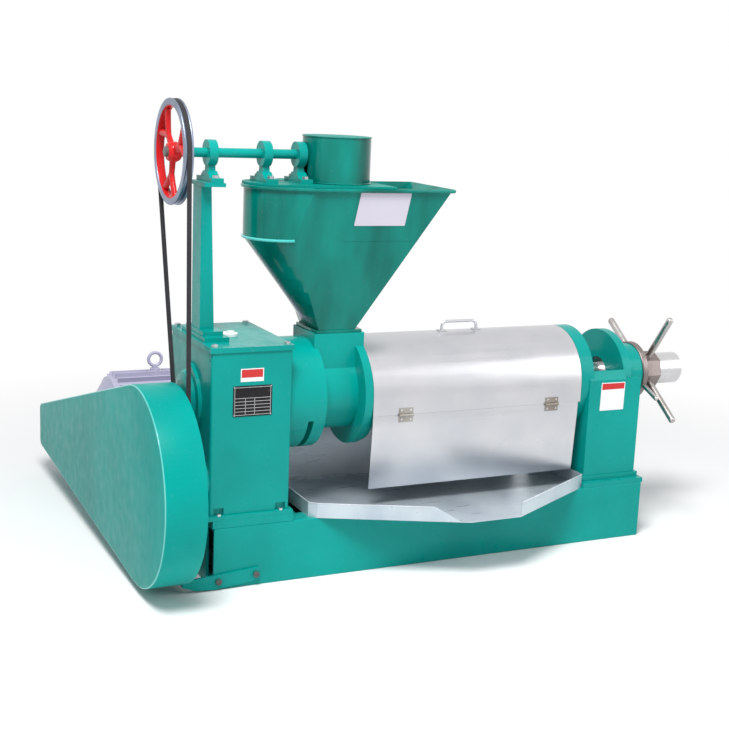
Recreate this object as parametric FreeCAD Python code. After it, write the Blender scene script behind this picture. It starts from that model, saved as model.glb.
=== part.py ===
import FreeCAD, Part
import math
import os

# Screw oil press with side motor, belt drive, gearbox, overhead feeder and press cage.
# Frame: origin on the floor under the middle of the base, +X from the gearbox to the
# adjusting nut, +Y from the operator's side to the motor, +Z up. Millimetres.

V = FreeCAD.Vector
RUN = 0.06          # radial clearance of a running fit
GAP = 0.3           # clearance between curved parts that do not bear on each other
BOLT_GAP = 0.2      # radial clearance of a bolt in its hole

# Base
base_length = 1620.0
base_width = 426.0
base_height = 200.0
channel_flange = 75.0
channel_web = 9.0
channel_lip = 11.0
plinth_length = 268.0
plinth_height = 24.0
column_pad_height = 18.0
left_end = -base_length / 2
right_end = base_length / 2

# Shaft axes
axis_z = base_height + 370.0
input_y = -143.0
input_z = base_height + 139.0
feeder_z = base_height + 1138.0
motor_y = 1087.0
motor_z = 228.0

# Gearbox
gearbox_left = left_end - 14.0
gearbox_length = 264.0
gearbox_depth = 404.0
gearbox_wall = 12.0
gearbox_foot = 14.0
gearbox_top = base_height + 552.0
lid_thick = 16.0
main_cap_radius = 118.0
module_low = 5.0
module_fast = 4.0
teeth_input = 20
teeth_counter = 60
teeth_counter_pinion = 17
teeth_output = 62
gear_face_fast = 44.0
gear_face_low = 74.0
tooth_slack = 0.90
input_shaft_radius = 22.0
counter_shaft_radius = 26.0
spindle_radius = 32.0
bearing_width = 26.0

# Belt drive
drive_pulley_radius = 280.0
motor_pulley_radius = 65.0
groove_pitch = 19.0
groove_edge = 12.5
groove_count = 4
groove_depth = 14.0
groove_top = 16.0
groove_bottom = 8.4
pulley_x = left_end - 165.0
guard_left = left_end - 230.0
guard_right = left_end - 101.0
guard_radius = 311.0
guard_sheet = 2.0
guard_end_y = 1237.0
guard_end_top = 275.0
guard_end_bottom = 112.0
guard_lip = 30.0

# Motor
motor_front = left_end - 67.0
motor_body_left = left_end + 20.0
motor_body_length = 380.0
motor_body_radius = 172.0
motor_fin_height = 20.0
motor_fins = 28
motor_shaft_radius = 27.5
motor_centre_height = 200.0
cowl_length = 150.0
rail_width = 62.0
rail_foot_spacing = 305.0
foot_hole_spacing = 318.0

# Feeder
wheel_x = left_end - 77.0
wheel_radius = 160.0
wheel_rim_inner = 140.0
wheel_width = 28.0
feed_drive_radius = 45.0
feeder_shaft_radius = 15.0
pedestal_head_radius = 40.0
pedestal_width = 28.0
pedestal_post_x = left_end + 40.0
pedestal_mid_x = left_end + 217.0
pedestal_end_x = left_end + 333.0
post_left = left_end
post_width = 47.0
post_depth = 80.0
can_x = left_end + 462.0
can_radius = 110.0
can_height = 146.0
sheet = 3.0
bevel_module = 4.0
bevel_pinion_teeth = 14
bevel_gear_teeth = 28
bevel_face = 18.0
auger_radius = 44.0
auger_shaft_radius = 14.0
auger_pitch = 80.0

# Hopper
hopper_rim_z = base_height + 1045.0
hopper_skirt_z = base_height + 878.0
hopper_outlet_z = base_height + 585.0
hopper_right = left_end + 812.0
hopper_half_depth = 153.0
hopper_corner_x = left_end + 329.0
nose_x = left_end + 276.0
nose_radius = 119.0
outlet_left = left_end + 385.0
outlet_right = left_end + 512.0
outlet_half_depth = 83.0
hopper_lid_right = left_end + 605.0

# Feed throat and press cage
shell_radius = 180.0
throat_drum_end = left_end + 380.0
throat_ring_left = left_end + 514.0
throat_end = left_end + 542.0
throat_body_radius = 128.0
collar_left = left_end + 368.0
collar_right = left_end + 543.0
collar_half_depth = 91.0
collar_top = base_height + 575.0
bore_radius = 64.0
cage_end = right_end - 280.0
bar_count = 24
bar_depth = 20.0
bar_slot = 1.0
rib_outer = shell_radius * 23 / 30
rib_count = 8
rib_width = 26.0
joint_bar_height = 24.0
joint_bar_reach = shell_radius * 83 / 90

# Column and adjusting gear
column_left = right_end - 235.0
ring_end = column_left
ring_lap = 18.0
column_right = right_end - 16.0
column_wall = 66.0
arch_wall = 32.0
arch_radius = 174.0
column_left_wall = 24.0
column_side_wall = 22.0
column_shoulder_z = base_height + 383.0
boss_radius = 100.0
boss_end = right_end + 52.0
sleeve_radius = 58.0
sleeve_end = right_end + 263.0
nut_flange_radius = 106.0
nut_flange_thick = 24.0
nut_hub_radius = 66.0
nut_hub_end = right_end + 160.0
rod_radius = 12.5
rod_reach = 266.0
rod_angle = 55.0
adjust_travel = 8.0

# Sheet metal round the cage
hood_left = left_end + 545.0
hood_right = right_end - 270.0
hood_sheet = 1.5
hood_edge_z = base_height + 314.0
flap_bottom_z = base_height + 63.0
flap_lean = 14.0
flap_right = hood_right - 10.0
hinge_pin_radius = 2.5
tray_sheet = 2.0
tray_rim = 50.0
tray_corner = 23.0
tray_left = left_end + 322.0
tray_right = right_end - 252.0
tray_spout_y = -417.0
tray_spout_left = right_end - 822.0
tray_spout_right = right_end - 635.0
splash_top = base_height + 320.0

half_base = base_width / 2
plinth_top = base_height + plinth_height
gearbox_bottom = plinth_top
gearbox_right = gearbox_left + gearbox_length
gearbox_half = gearbox_depth / 2
lid_top = gearbox_top + lid_thick
rail_height = motor_z - motor_centre_height
motor_body_right = motor_body_left + motor_body_length
motor_outer = motor_body_radius + motor_fin_height
column_foot_z = base_height + column_pad_height


def block(x0, x1, y0, y1, z0, z1):
    return Part.makeBox(x1 - x0, y1 - y0, z1 - z0, V(x0, y0, z0))


def rod(radius, start, along, length):
    return Part.makeCylinder(radius, length, V(*start), V(*along))


def rod_x(radius, x0, x1, y=0.0, z=axis_z):
    return rod(radius, (x0, y, z), (1, 0, 0), x1 - x0)


def ring_x(outer, inner, x0, x1, y=0.0, z=axis_z):
    return rod_x(outer, x0, x1, y, z).cut(rod_x(inner, x0 - 1, x1 + 1, y, z))


def rod_z(radius, z0, z1, x, y):
    return rod(radius, (x, y, z0), (0, 0, 1), z1 - z0)


def joined(shapes):
    whole = shapes[0]
    if len(shapes) > 1:
        whole = whole.multiFuse(shapes[1:])
    return whole.removeSplitter()


def face_of(points):
    corners = [V(*p) for p in points]
    return Part.Face(Part.makePolygon(corners + corners[:1]))


def prism(points, along):
    return face_of(points).extrude(V(*along))


def turned(profile, axis_point, axis_dir, angle=360.0):
    return face_of(profile).revolve(V(*axis_point), V(*axis_dir), angle)


def turned_x(profile, y=0.0, z=axis_z):
    """Revolve pairs of x and radius about the X line through y and z."""
    points = [(x, y, z + radius) for x, radius in profile]
    return turned(points, (0, y, z), (1, 0, 0))


def save(name, pieces):
    solids = []
    for piece in pieces:
        solids += piece.Solids
    shape = solids[0] if len(solids) == 1 else Part.makeCompound(solids)
    shape.exportStep(os.path.join("parts", name + ".step"))


def bolt(point, out, size, depth):
    """Hex-headed bolt whose head bears at point and whose shank goes against out."""
    direction = V(*out)
    head = Part.makeCylinder(size * 0.9, size * 0.65, V(*point), direction)
    side = V(0, 0, 1) if abs(direction.z) < 0.5 else V(1, 0, 0)
    other = direction.cross(side)
    corners = []
    for k in range(6):
        angle = math.radians(60 * k)
        spot = V(*point) + side * (size * 0.9 * math.cos(angle)) + other * (size * 0.9 * math.sin(angle))
        corners.append(spot)
    head = Part.Face(Part.makePolygon(corners + corners[:1])).extrude(direction * (size * 0.65))
    shank = Part.makeCylinder(size / 2, depth, V(*point), direction * -1)
    return head.fuse(shank).removeSplitter()


def bolt_hole(point, out, size, depth):
    direction = V(*out)
    return Part.makeCylinder(size / 2 + BOLT_GAP, depth + 1, V(*point) + direction, direction * -1)


def channel_y(x, length, flange, height, web, lip, opening):
    """Channel along X with its web at the outside and its flanges towards opening."""
    x0, x1 = x, x + length
    inner = opening * web
    tip = opening * flange
    profile = [(x0, 0, 0), (x0, tip, 0), (x0, tip, lip), (x0, inner, lip),
               (x0, inner, height - lip), (x0, tip, height - lip), (x0, tip, height), (x0, 0, height)]
    return prism(profile, (x1 - x0, 0, 0))


def base_rail(side):
    rail = channel_y(-base_length / 2, base_length, channel_flange, base_height, channel_web, channel_lip, -side)
    rail.translate(V(0, side * half_base, 0))
    for point in bracket_bolts:
        if side < 0:
            rail = rail.cut(bolt_hole(point, (0, -1, 0), 12, 30))
    return rail


def cross_member(x):
    """Channel across the base, web upright, its ends against the tips of the rail flanges."""
    y0 = -half_base + channel_flange
    profile = [(0, y0, 0), (50, y0, 0), (50, y0, channel_lip), (channel_web, y0, channel_lip),
               (channel_web, y0, base_height - channel_lip), (50, y0, base_height - channel_lip),
               (50, y0, base_height), (0, y0, base_height)]
    member = prism(profile, (0, -2 * y0, 0))
    member.translate(V(x, 0, 0))
    return member


bracket_bolts = [(left_end + 14.0, -half_base - 8.0, 29.0), (left_end + 138.0, -half_base - 8.0, 39.0)]


def gear_outline(teeth, module, phase):
    """Points of y and z of a spur gear with involute flanks in three steps."""
    pitch = teeth * module / 2
    root = pitch - 1.25 * module
    tip = pitch + module
    base = pitch * math.cos(math.radians(20))
    half = math.pi / (2 * teeth) * tooth_slack
    level = math.tan(math.radians(20)) - math.radians(20)

    def half_angle(radius):
        if radius <= base:
            return half + level
        press = math.acos(base / radius)
        return half + level - (math.tan(press) - press)

    radii = [root, pitch, tip]
    points = []
    for tooth in range(round(teeth)):
        centre = phase + 2 * math.pi * tooth / teeth
        for radius in radii:
            angle = centre - half_angle(radius)
            points.append((radius * math.cos(angle), radius * math.sin(angle)))
        for radius in reversed(radii):
            angle = centre + half_angle(radius)
            points.append((radius * math.cos(angle), radius * math.sin(angle)))
    return points


def spur_gear(teeth, module, x0, x1, y, z, phase, bore):
    outline = [(x0, y + a, z + b) for a, b in gear_outline(teeth, module, phase)]
    return prism(outline, (x1 - x0, 0, 0)).cut(rod_x(bore, x0 - 1, x1 + 1, y, z))


def counter_axis():
    """Centre of the countershaft: at both centre distances from the input shaft and the spindle."""
    far = module_low * (teeth_output + teeth_counter_pinion) / 2
    near = module_fast * (teeth_input + teeth_counter) / 2
    dy = input_y
    dz = input_z - axis_z
    span = math.hypot(dy, dz)
    along = (far * far - near * near + span * span) / (2 * span)
    across = math.sqrt(far * far - along * along)
    uy, uz = dy / span, dz / span
    return uy * along - uz * across, axis_z + uz * along + uy * across


counter_y, counter_z = counter_axis()
gear_fast_left = gearbox_left + gearbox_wall + 24
gear_low_left = gear_fast_left + gear_face_fast + 50


def mesh_angle(y0, z0, y1, z1):
    return math.atan2(z1 - z0, y1 - y0)


fast_line = mesh_angle(input_y, input_z, counter_y, counter_z)
low_line = mesh_angle(counter_y, counter_z, 0.0, axis_z)
input_bearing_radius = 42.0
counter_bearing_radius = 48.0
spindle_bearing_radius = 72.0
spindle_seat_radius = 42.0
lid_bolt_inset = 15.0
foot_bolt_size = 10.0
foot_pocket_depth = 8.5
lid_bolt_points = []
for bolt_x in (gearbox_left + lid_bolt_inset, gearbox_right - lid_bolt_inset):
    for bolt_y in (-gearbox_half + lid_bolt_inset, gearbox_half - lid_bolt_inset):
        lid_bolt_points.append((bolt_x, bolt_y, lid_top))
foot_bolt_points = []
for bolt_x in (gearbox_left + 30, gearbox_right - 30):
    for bolt_y in (-gearbox_half - 1, gearbox_half + 1):
        foot_bolt_points.append((bolt_x, bolt_y, gearbox_bottom + gearbox_foot))


def gearbox_housing():
    outer = block(gearbox_left, gearbox_right, -gearbox_half, gearbox_half, gearbox_bottom, gearbox_top)
    edges = [e for e in outer.Edges if abs(e.Vertexes[0].Z - e.Vertexes[-1].Z) > 100]
    outer = outer.makeFillet(8.0, edges)
    foot = block(gearbox_left - 6, gearbox_right + 10, -half_base + 1, half_base - 1,
                 gearbox_bottom, gearbox_bottom + gearbox_foot)
    body = joined([outer, foot])
    body = body.cut(block(gearbox_left + gearbox_wall, gearbox_right - gearbox_wall,
                          -gearbox_half + gearbox_wall, gearbox_half - gearbox_wall,
                          gearbox_bottom + gearbox_wall, gearbox_top + 1))
    corners = []
    for x, y, z in lid_bolt_points:
        corners.append(rod_z(11, gearbox_top - 60, gearbox_top, x, y))
    body = joined([body] + corners)
    for y, z, radius in ((input_y, input_z, input_bearing_radius),
                         (counter_y, counter_z, counter_bearing_radius),
                         (0.0, axis_z, spindle_bearing_radius)):
        body = body.cut(rod_x(radius, gearbox_left - 10, gearbox_right + 20, y, z))
    for point in lid_bolt_points:
        body = body.cut(bolt_hole(point, (0, 0, 1), 12, 50))
    for x, y, z in foot_bolt_points:
        body = body.cut(bolt_hole((x, y, z), (0, 0, 1), foot_bolt_size, 40))
        inner = math.copysign(gearbox_half - foot_pocket_depth, y)
        low, high = sorted((inner, y * 1.2))
        body = body.cut(block(x - 17, x + 17, low, high, z, z + 24))
    return body


def gearbox_lid():
    lid = block(gearbox_left - 4, gearbox_right + 4, -gearbox_half - 4, gearbox_half + 4, gearbox_top, lid_top)
    lid = lid.cut(rod_z(filler_radius - 8, gearbox_top - 1, lid_top + 1, filler_x, filler_y))
    for point in lid_bolt_points:
        lid = lid.cut(bolt_hole(point, (0, 0, 1), 12, 50))
    return lid


filler_x = gearbox_left + 118.0
filler_y = -13.0
filler_radius = 30.0


def filler_cap():
    plug = rod_z(filler_radius - 8 - BOLT_GAP, gearbox_top, lid_top, filler_x, filler_y)
    flange = rod_z(filler_radius, lid_top, lid_top + 8, filler_x, filler_y)
    knob = rod_z(12, lid_top + 8, lid_top + 14, filler_x + 8, filler_y)
    return joined([plug, flange, knob])


def main_cap():
    """Domed round cover over the spindle bearing, with a stepped rim and a centre boss."""
    x = gearbox_left
    profile = [(x, 0), (x, main_cap_radius), (x - 12, main_cap_radius), (x - 12, 92), (x - 24, 84),
               (x - 30, 60), (x - 30, 24), (x - 44, 22), (x - 44, 0)]
    cap = turned_x(profile)
    pocket = rod_x(spindle_seat_radius + 2, x - adjust_travel - 4, x + 1)
    return cap.cut(pocket)


def small_cap(x, out, y, z, radius, bore):
    """Flanged bearing cover on a gearbox wall, bored for its shaft where that passes."""
    flange = rod_x(radius + 16, min(x, x + out * 12), max(x, x + out * 12), y, z)
    step = rod_x(radius - 4, min(x, x + out * 18), max(x, x + out * 18), y, z)
    cap = joined([flange, step])
    if bore:
        cap = cap.cut(rod_x(bore + RUN, x - 30, x + 30, y, z))
    else:
        cap = cap.cut(rod_x(counter_shaft_radius + 2, min(x, x + out * 6), max(x, x + out * 6), y, z))
    return cap


def gearbox_bearings():
    rings = []
    left = gearbox_left
    right = gearbox_right - bearing_width
    for y, z, radius, shaft in ((input_y, input_z, input_bearing_radius, input_shaft_radius),
                                (counter_y, counter_z, counter_bearing_radius, counter_shaft_radius),
                                (0.0, axis_z, spindle_bearing_radius, spindle_seat_radius)):
        for x in (left, right):
            rings.append(ring_x(radius, shaft + RUN, x, x + bearing_width, y, z))
    return rings


def input_shaft():
    shaft = rod_x(input_shaft_radius, guard_left + 22, gearbox_right, input_y, input_z)
    pinion = spur_gear(teeth_input, module_fast, gear_fast_left, gear_fast_left + gear_face_fast,
                       input_y, input_z, fast_line, 10)
    return joined([shaft, pinion])


def countershaft():
    shaft = rod_x(counter_shaft_radius, gearbox_left, gearbox_right, counter_y, counter_z)
    pinion = spur_gear(teeth_counter_pinion, module_low, gear_low_left, gear_low_left + gear_face_low,
                       counter_y, counter_z, low_line, 10)
    return joined([shaft, pinion])


def counter_gear():
    phase = fast_line + math.pi + math.pi / teeth_counter
    x0, x1 = gear_fast_left + 2, gear_fast_left + gear_face_fast - 2
    gear = spur_gear(teeth_counter, module_fast, x0, x1, counter_y, counter_z, phase, counter_shaft_radius)
    for k in range(5):
        angle = math.radians(72 * k)
        gear = gear.cut(rod_x(22, x0 - 1, x1 + 1, counter_y + 72 * math.cos(angle), counter_z + 72 * math.sin(angle)))
    return gear


def output_gear():
    phase = low_line + math.pi + math.pi / teeth_output
    x0, x1 = gear_low_left + 2, gear_low_left + gear_face_low - 2
    gear = spur_gear(teeth_output, module_low, x0, x1, 0.0, axis_z, phase, spindle_seat_radius + RUN)
    for face_x, depth in ((x0 - 1, 21), (x1 - 20, 21)):
        gear = gear.cut(ring_x(132, 70, face_x, face_x + depth))
    for k in range(6):
        angle = math.radians(60 * k)
        gear = gear.cut(rod_x(20, x0 - 1, x1 + 1, 101 * math.cos(angle), axis_z + 101 * math.sin(angle)))
    return gear


def grooved_rim(radius, x_mid):
    """Profile of x and radius of a belt pulley rim, from its left face to its right face."""
    width = 2 * groove_edge + (groove_count - 1) * groove_pitch
    left = x_mid - width / 2
    profile = [(left, radius)]
    for k in range(groove_count):
        mid = left + groove_edge + k * groove_pitch
        profile.append((mid - groove_top / 2, radius))
        profile.append((mid - groove_bottom / 2, radius - groove_depth))
        profile.append((mid + groove_bottom / 2, radius - groove_depth))
        profile.append((mid + groove_top / 2, radius))
    profile.append((left + width, radius))
    return profile


pulley_half = groove_edge + (groove_count - 1) * groove_pitch / 2


def drive_pulley():
    """Cast pulley: grooved rim, web with round openings, hub on the input shaft."""
    rim = drive_pulley_radius - groove_depth - 12
    profile = [(pulley_x - pulley_half, rim)] + grooved_rim(drive_pulley_radius, pulley_x)
    profile += [(pulley_x + pulley_half, rim), (pulley_x + 9, rim), (pulley_x + 9, 50),
                (pulley_x + 40, 48), (pulley_x + 40, input_shaft_radius), (pulley_x - 40, input_shaft_radius),
                (pulley_x - 40, 48), (pulley_x - 9, 50), (pulley_x - 9, rim)]
    pulley = turned_x(profile, input_y, input_z)
    for k in range(5):
        angle = math.radians(72 * k + 18)
        pulley = pulley.cut(rod_x(52, pulley_x - 20, pulley_x + 20,
                                  input_y + 152 * math.cos(angle), input_z + 152 * math.sin(angle)))
    return pulley


def motor_pulley():
    profile = [(pulley_x - pulley_half, motor_shaft_radius)] + grooved_rim(motor_pulley_radius, pulley_x)
    profile += [(pulley_x + pulley_half, motor_shaft_radius)]
    return turned_x(profile, motor_y, motor_z)


def loop_belt(x_mid, centre_a, radius_a, centre_b, radius_b, top, bottom, depth):
    """V belt round two pulleys: two straight runs and two arcs of one trapezoid section."""
    dy, dz = centre_b[0] - centre_a[0], centre_b[1] - centre_a[1]
    span = math.hypot(dy, dz)
    line = math.atan2(dz, dy)
    lean = math.acos((radius_a - radius_b) / span)

    def section(centre, radius, angle):
        ny, nz = math.cos(angle), math.sin(angle)
        outer = (centre[0] + ny * radius, centre[1] + nz * radius)
        inner = (centre[0] + ny * (radius - depth), centre[1] + nz * (radius - depth))
        return face_of([(x_mid - top / 2, outer[0], outer[1]), (x_mid + top / 2, outer[0], outer[1]),
                        (x_mid + bottom / 2, inner[0], inner[1]), (x_mid - bottom / 2, inner[0], inner[1])])

    parts = []
    for side in (1, -1):
        angle = line + side * lean
        ny, nz = math.cos(angle), math.sin(angle)
        start = (centre_a[0] + ny * radius_a, centre_a[1] + nz * radius_a)
        end = (centre_b[0] + ny * radius_b, centre_b[1] + nz * radius_b)
        parts.append(section(centre_a, radius_a, angle).extrude(V(0, end[0] - start[0], end[1] - start[1])))
    wrap_a = 360 - 2 * math.degrees(lean)
    wrap_b = 2 * math.degrees(lean)
    parts.append(section(centre_a, radius_a, line + lean).revolve(
        V(0, centre_a[0], centre_a[1]), V(1, 0, 0), wrap_a))
    parts.append(section(centre_b, radius_b, line - lean).revolve(
        V(0, centre_b[0], centre_b[1]), V(1, 0, 0), wrap_b))
    return joined(parts)


belt_top = groove_top - 1.6
belt_bottom = groove_bottom + 0.4
belt_depth = 10.5


def drive_belts():
    belts = []
    left = pulley_x - pulley_half + groove_edge
    for k in range(groove_count):
        belts.append(loop_belt(left + k * groove_pitch, (input_y, input_z), drive_pulley_radius - 0.8,
                               (motor_y, motor_z), motor_pulley_radius - 0.8,
                               belt_top, belt_bottom, belt_depth))
    return belts


def feed_belt():
    return loop_belt(wheel_x, (0.0, feeder_z), wheel_radius - 0.8, (input_y, input_z), feed_drive_radius - 0.8,
                     belt_top, belt_bottom, belt_depth)


def single_groove(radius, x_mid, width):
    return [(x_mid - width / 2, radius), (x_mid - groove_top / 2, radius),
            (x_mid - groove_bottom / 2, radius - groove_depth), (x_mid + groove_bottom / 2, radius - groove_depth),
            (x_mid + groove_top / 2, radius), (x_mid + width / 2, radius)]


def feed_drive_pulley():
    profile = [(wheel_x - wheel_width / 2, input_shaft_radius)] + single_groove(feed_drive_radius, wheel_x, wheel_width)
    profile += [(wheel_x + wheel_width / 2, input_shaft_radius)]
    return turned_x(profile, input_y, input_z)


def spoke(angle):
    """Forked spoke: one arm from the hub that splits in two where it meets the rim."""
    half = 9.0
    arm = block(wheel_x - 7, wheel_x + 7, 20, 96, -half, half)
    fork = []
    for side in (1, -1):
        tine = block(wheel_x - 7, wheel_x + 7, 0, 60, -8, 8)
        tine.rotate(V(0, 0, 0), V(1, 0, 0), side * 30)
        tine.translate(V(0, 88, 0))
        fork.append(tine)
    whole = joined([arm] + fork)
    whole = whole.common(rod_x(wheel_rim_inner + 3, wheel_x - 8, wheel_x + 8, 0, 0))
    whole.rotate(V(0, 0, 0), V(1, 0, 0), angle)
    whole.translate(V(0, 0, feeder_z))
    return whole


def feed_pulley():
    """Light cast wheel: grooved rim, hub and three forked spokes."""
    rim_profile = [(wheel_x - wheel_width / 2, wheel_rim_inner)]
    rim_profile += single_groove(wheel_radius, wheel_x, wheel_width)
    rim_profile += [(wheel_x + wheel_width / 2, wheel_rim_inner)]
    rim = turned_x(rim_profile, 0.0, feeder_z)
    hub = rod_x(27, wheel_x - 20, wheel_x + 20, 0.0, feeder_z)
    wheel = joined([rim, hub] + [spoke(115 + 120 * k) for k in range(3)])
    return wheel.cut(rod_x(feeder_shaft_radius, wheel_x - 30, wheel_x + 30, 0.0, feeder_z))


def feeder_shaft():
    return rod_x(feeder_shaft_radius, wheel_x - 28, can_x - 22, 0.0, feeder_z)


def pedestal(x, seat_z):
    """Pedestal bearing: round head, narrow waist and a wide foot with two bolt lugs."""
    head = rod_x(pedestal_head_radius, x - pedestal_width / 2, x + pedestal_width / 2, 0.0, feeder_z)
    waist = prism([(x - 11, -24, seat_z + 14), (x - 11, 24, seat_z + 14), (x - 11, 15, feeder_z - 34),
                   (x - 11, -15, feeder_z - 34)], (22, 0, 0))
    foot = block(x - 20, x + 20, -72, 72, seat_z, seat_z + 14)
    web = prism([(x - 16, -44, seat_z + 12), (x - 16, 44, seat_z + 12), (x - 16, 20, seat_z + 32),
                 (x - 16, -20, seat_z + 32)], (32, 0, 0))
    body = joined([head, waist, foot, web])
    body = body.cut(rod_x(feeder_shaft_radius + RUN, x - 40, x + 40, 0.0, feeder_z))
    for y in (-56, 56):
        body = body.cut(rod_z(6 + BOLT_GAP, seat_z - 1, seat_z + 20, x, y))
    return body


post_foot = 14.0
post_cap = 12.0
lid_sheet = 6.0
pedestal_seat = hopper_rim_z + lid_sheet


def post():
    """Tapered box column on the gearbox lid with a foot plate and a bearing seat."""
    x0 = post_left
    top = pedestal_seat
    foot = block(x0 - 8, x0 + 72, -115, 115, lid_top, lid_top + post_foot)
    pad = block(x0 - 4, x0 + 62, -84, 84, lid_top + post_foot, lid_top + 2 * post_foot)
    shaft = prism([(x0, -post_depth / 2, lid_top + post_foot), (x0 + post_width, -post_depth / 2, lid_top + post_foot),
                   (x0 + post_width - 15, -post_depth / 2, top - post_cap), (x0, -post_depth / 2, top - post_cap)],
                  (0, post_depth, 0))
    seat = block(x0 - 2, pedestal_post_x + 26, -76, 76, top - post_cap, top)
    column = joined([foot, pad, shaft, seat])
    for y in (-56, 56):
        column = column.cut(rod_z(6 + BOLT_GAP, top - 40, top + 1, pedestal_post_x, y))
    return column


def pedestal_bolts():
    bolts = []
    for x in (pedestal_post_x, pedestal_mid_x, pedestal_end_x):
        for y in (-56, 56):
            length = 26 if x == pedestal_post_x else 20
            bolts.append(bolt((x, y, pedestal_seat + 14), (0, 0, 1), 12, length))
    return bolts


def hopper_section(z, inset):
    """Corner points of the hopper wall at height z, set in by inset."""
    points = []
    if z >= hopper_skirt_z:
        share = (z - hopper_skirt_z) / (hopper_rim_z - hopper_skirt_z)
    else:
        share = 0.0
    drop = (hopper_rim_z - z) / (hopper_rim_z - hopper_outlet_z)
    right = hopper_right + (outlet_right - hopper_right) * drop - inset
    half = hopper_half_depth + (outlet_half_depth - hopper_half_depth) * drop - inset
    if z >= hopper_skirt_z:
        corner_x = mid_corner_x + (hopper_corner_x - mid_corner_x) * share
        radius = nose_radius - inset
        for k in range(nose_steps + 1):
            angle = math.pi / 2 + math.pi * k / nose_steps
            points.append((nose_x + radius * math.cos(angle), radius * math.sin(angle), z))
    else:
        lower = (z - hopper_outlet_z) / (hopper_skirt_z - hopper_outlet_z)
        top = hopper_section(hopper_skirt_z, inset)
        corner_x = outlet_left + inset + (mid_corner_x - outlet_left - inset) * lower
        for k in range(nose_steps + 1):
            x1 = top[k][0]
            y1 = top[k][1]
            y0 = (outlet_half_depth - inset) * (1 - 2 * k / nose_steps)
            points.append((outlet_left + inset + (x1 - outlet_left - inset) * lower, y0 + (y1 - y0) * lower, z))
        corner_x = corner_x + 2 * (1 - lower)
    points.append((corner_x, -half, z))
    points.append((right, -half, z))
    points.append((right, half, z))
    points.append((corner_x, half, z))
    return points


mid_corner_x = left_end + 436.0
nose_steps = 12


def skin(rings):
    """Closed solid over stacked rings of equal point counts, in flat triangles."""
    faces = []
    count = len(rings[0])
    for lower, upper in zip(rings, rings[1:]):
        for k in range(count):
            n = (k + 1) % count
            if k == nose_steps or k == count - 1:
                first = (lower[k], lower[n], upper[n]) if k == nose_steps else (lower[k], lower[n], upper[k])
                second = (lower[k], upper[n], upper[k]) if k == nose_steps else (lower[n], upper[n], upper[k])
            else:
                first = (lower[k], lower[n], upper[n])
                second = (lower[k], upper[n], upper[k])
            faces.append(face_of(first))
            faces.append(face_of(second))
    faces.append(face_of(rings[0]))
    faces.append(face_of(rings[-1]))
    shell = Part.makeShell(faces)
    shell.sewShape()
    solid = Part.Solid(shell)
    if solid.Volume < 0:
        solid.reverse()
    return solid


def hopper_shell():
    """Folded sheet hopper with a round nose, a rolled rim and a flange round its outlet."""
    heights = (hopper_outlet_z, hopper_skirt_z, hopper_rim_z)
    outer = skin([hopper_section(z, 0.0) for z in heights])
    inner_rings = [hopper_section(z, sheet) for z in heights]
    inner_rings[0] = [(x, y, hopper_outlet_z - 1) for x, y, z in inner_rings[0]]
    inner_rings[-1] = [(x, y, hopper_rim_z + 1) for x, y, z in inner_rings[-1]]
    rim_outer = hopper_section(hopper_rim_z, -9.0)
    rim = prism([(x, y, hopper_rim_z - 12) for x, y, z in rim_outer], (0, 0, 12))
    bead_outer = hopper_section(hopper_skirt_z, -4.0)[:nose_steps + 1]
    bead = prism([(x, y, hopper_skirt_z) for x, y, z in bead_outer], (0, 0, 8))
    flange = block(collar_left + 6, collar_right - 6, -collar_half_depth + 4, collar_half_depth - 4,
                   collar_top, hopper_outlet_z)
    body = joined([outer, rim, bead, flange])
    body = body.cut(skin(inner_rings))
    return body.cut(block(outlet_left + sheet, outlet_right - sheet, -outlet_half_depth + sheet,
                          outlet_half_depth - sheet, collar_top - 1, hopper_outlet_z + 1))


def hopper_lid():
    """Flat plate over the nose end of the hopper; the other end stays open for filling."""
    outline = []
    radius = nose_radius + 6
    for k in range(nose_steps + 1):
        angle = math.pi / 2 + math.pi * k / nose_steps
        outline.append((nose_x + radius * math.cos(angle), radius * math.sin(angle), hopper_rim_z))
    half = hopper_half_depth + 6
    outline += [(hopper_corner_x, -half, hopper_rim_z), (hopper_lid_right, -half, hopper_rim_z),
                (hopper_lid_right, half, hopper_rim_z), (hopper_corner_x, half, hopper_rim_z)]
    lid = prism(outline, (0, 0, lid_sheet))
    lid = lid.cut(rod_z(bush_radius, hopper_rim_z - 1, hopper_rim_z + lid_sheet + 1, can_x, 0))
    for x in (pedestal_mid_x, pedestal_end_x):
        for y in (-56, 56):
            lid = lid.cut(rod_z(6 + BOLT_GAP, hopper_rim_z - 1, hopper_rim_z + 10, x, y))
    return lid


bush_radius = 30.0


def auger_bush():
    sleeve = rod_z(bush_radius, hopper_rim_z - 26, pedestal_seat, can_x, 0)
    flange = rod_z(bush_radius + 14, pedestal_seat, pedestal_seat + 6, can_x, 0)
    bush = joined([sleeve, flange])
    return bush.cut(rod_z(auger_shaft_radius + RUN, hopper_rim_z - 40, pedestal_seat + 20, can_x, 0))


can_top = pedestal_seat + can_height


def feeder_can():
    """Round sheet housing over the bevel gears with a slot for the feeder shaft."""
    wall = rod_z(can_radius, pedestal_seat, can_top, can_x, 0)
    wall = wall.cut(rod_z(can_radius - sheet, pedestal_seat - 1, can_top + 1, can_x, 0))
    slot = block(can_x - can_radius - 10, can_x, -22, 22, pedestal_seat - 1, feeder_z - 1)
    wall = wall.cut(slot.cut(rod_z(can_radius - 40, pedestal_seat - 2, can_top, can_x, 0)))
    hole = rod_x(24, can_x - can_radius - 10, can_x - can_radius + 40, 0.0, feeder_z)
    return wall.cut(hole)


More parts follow.
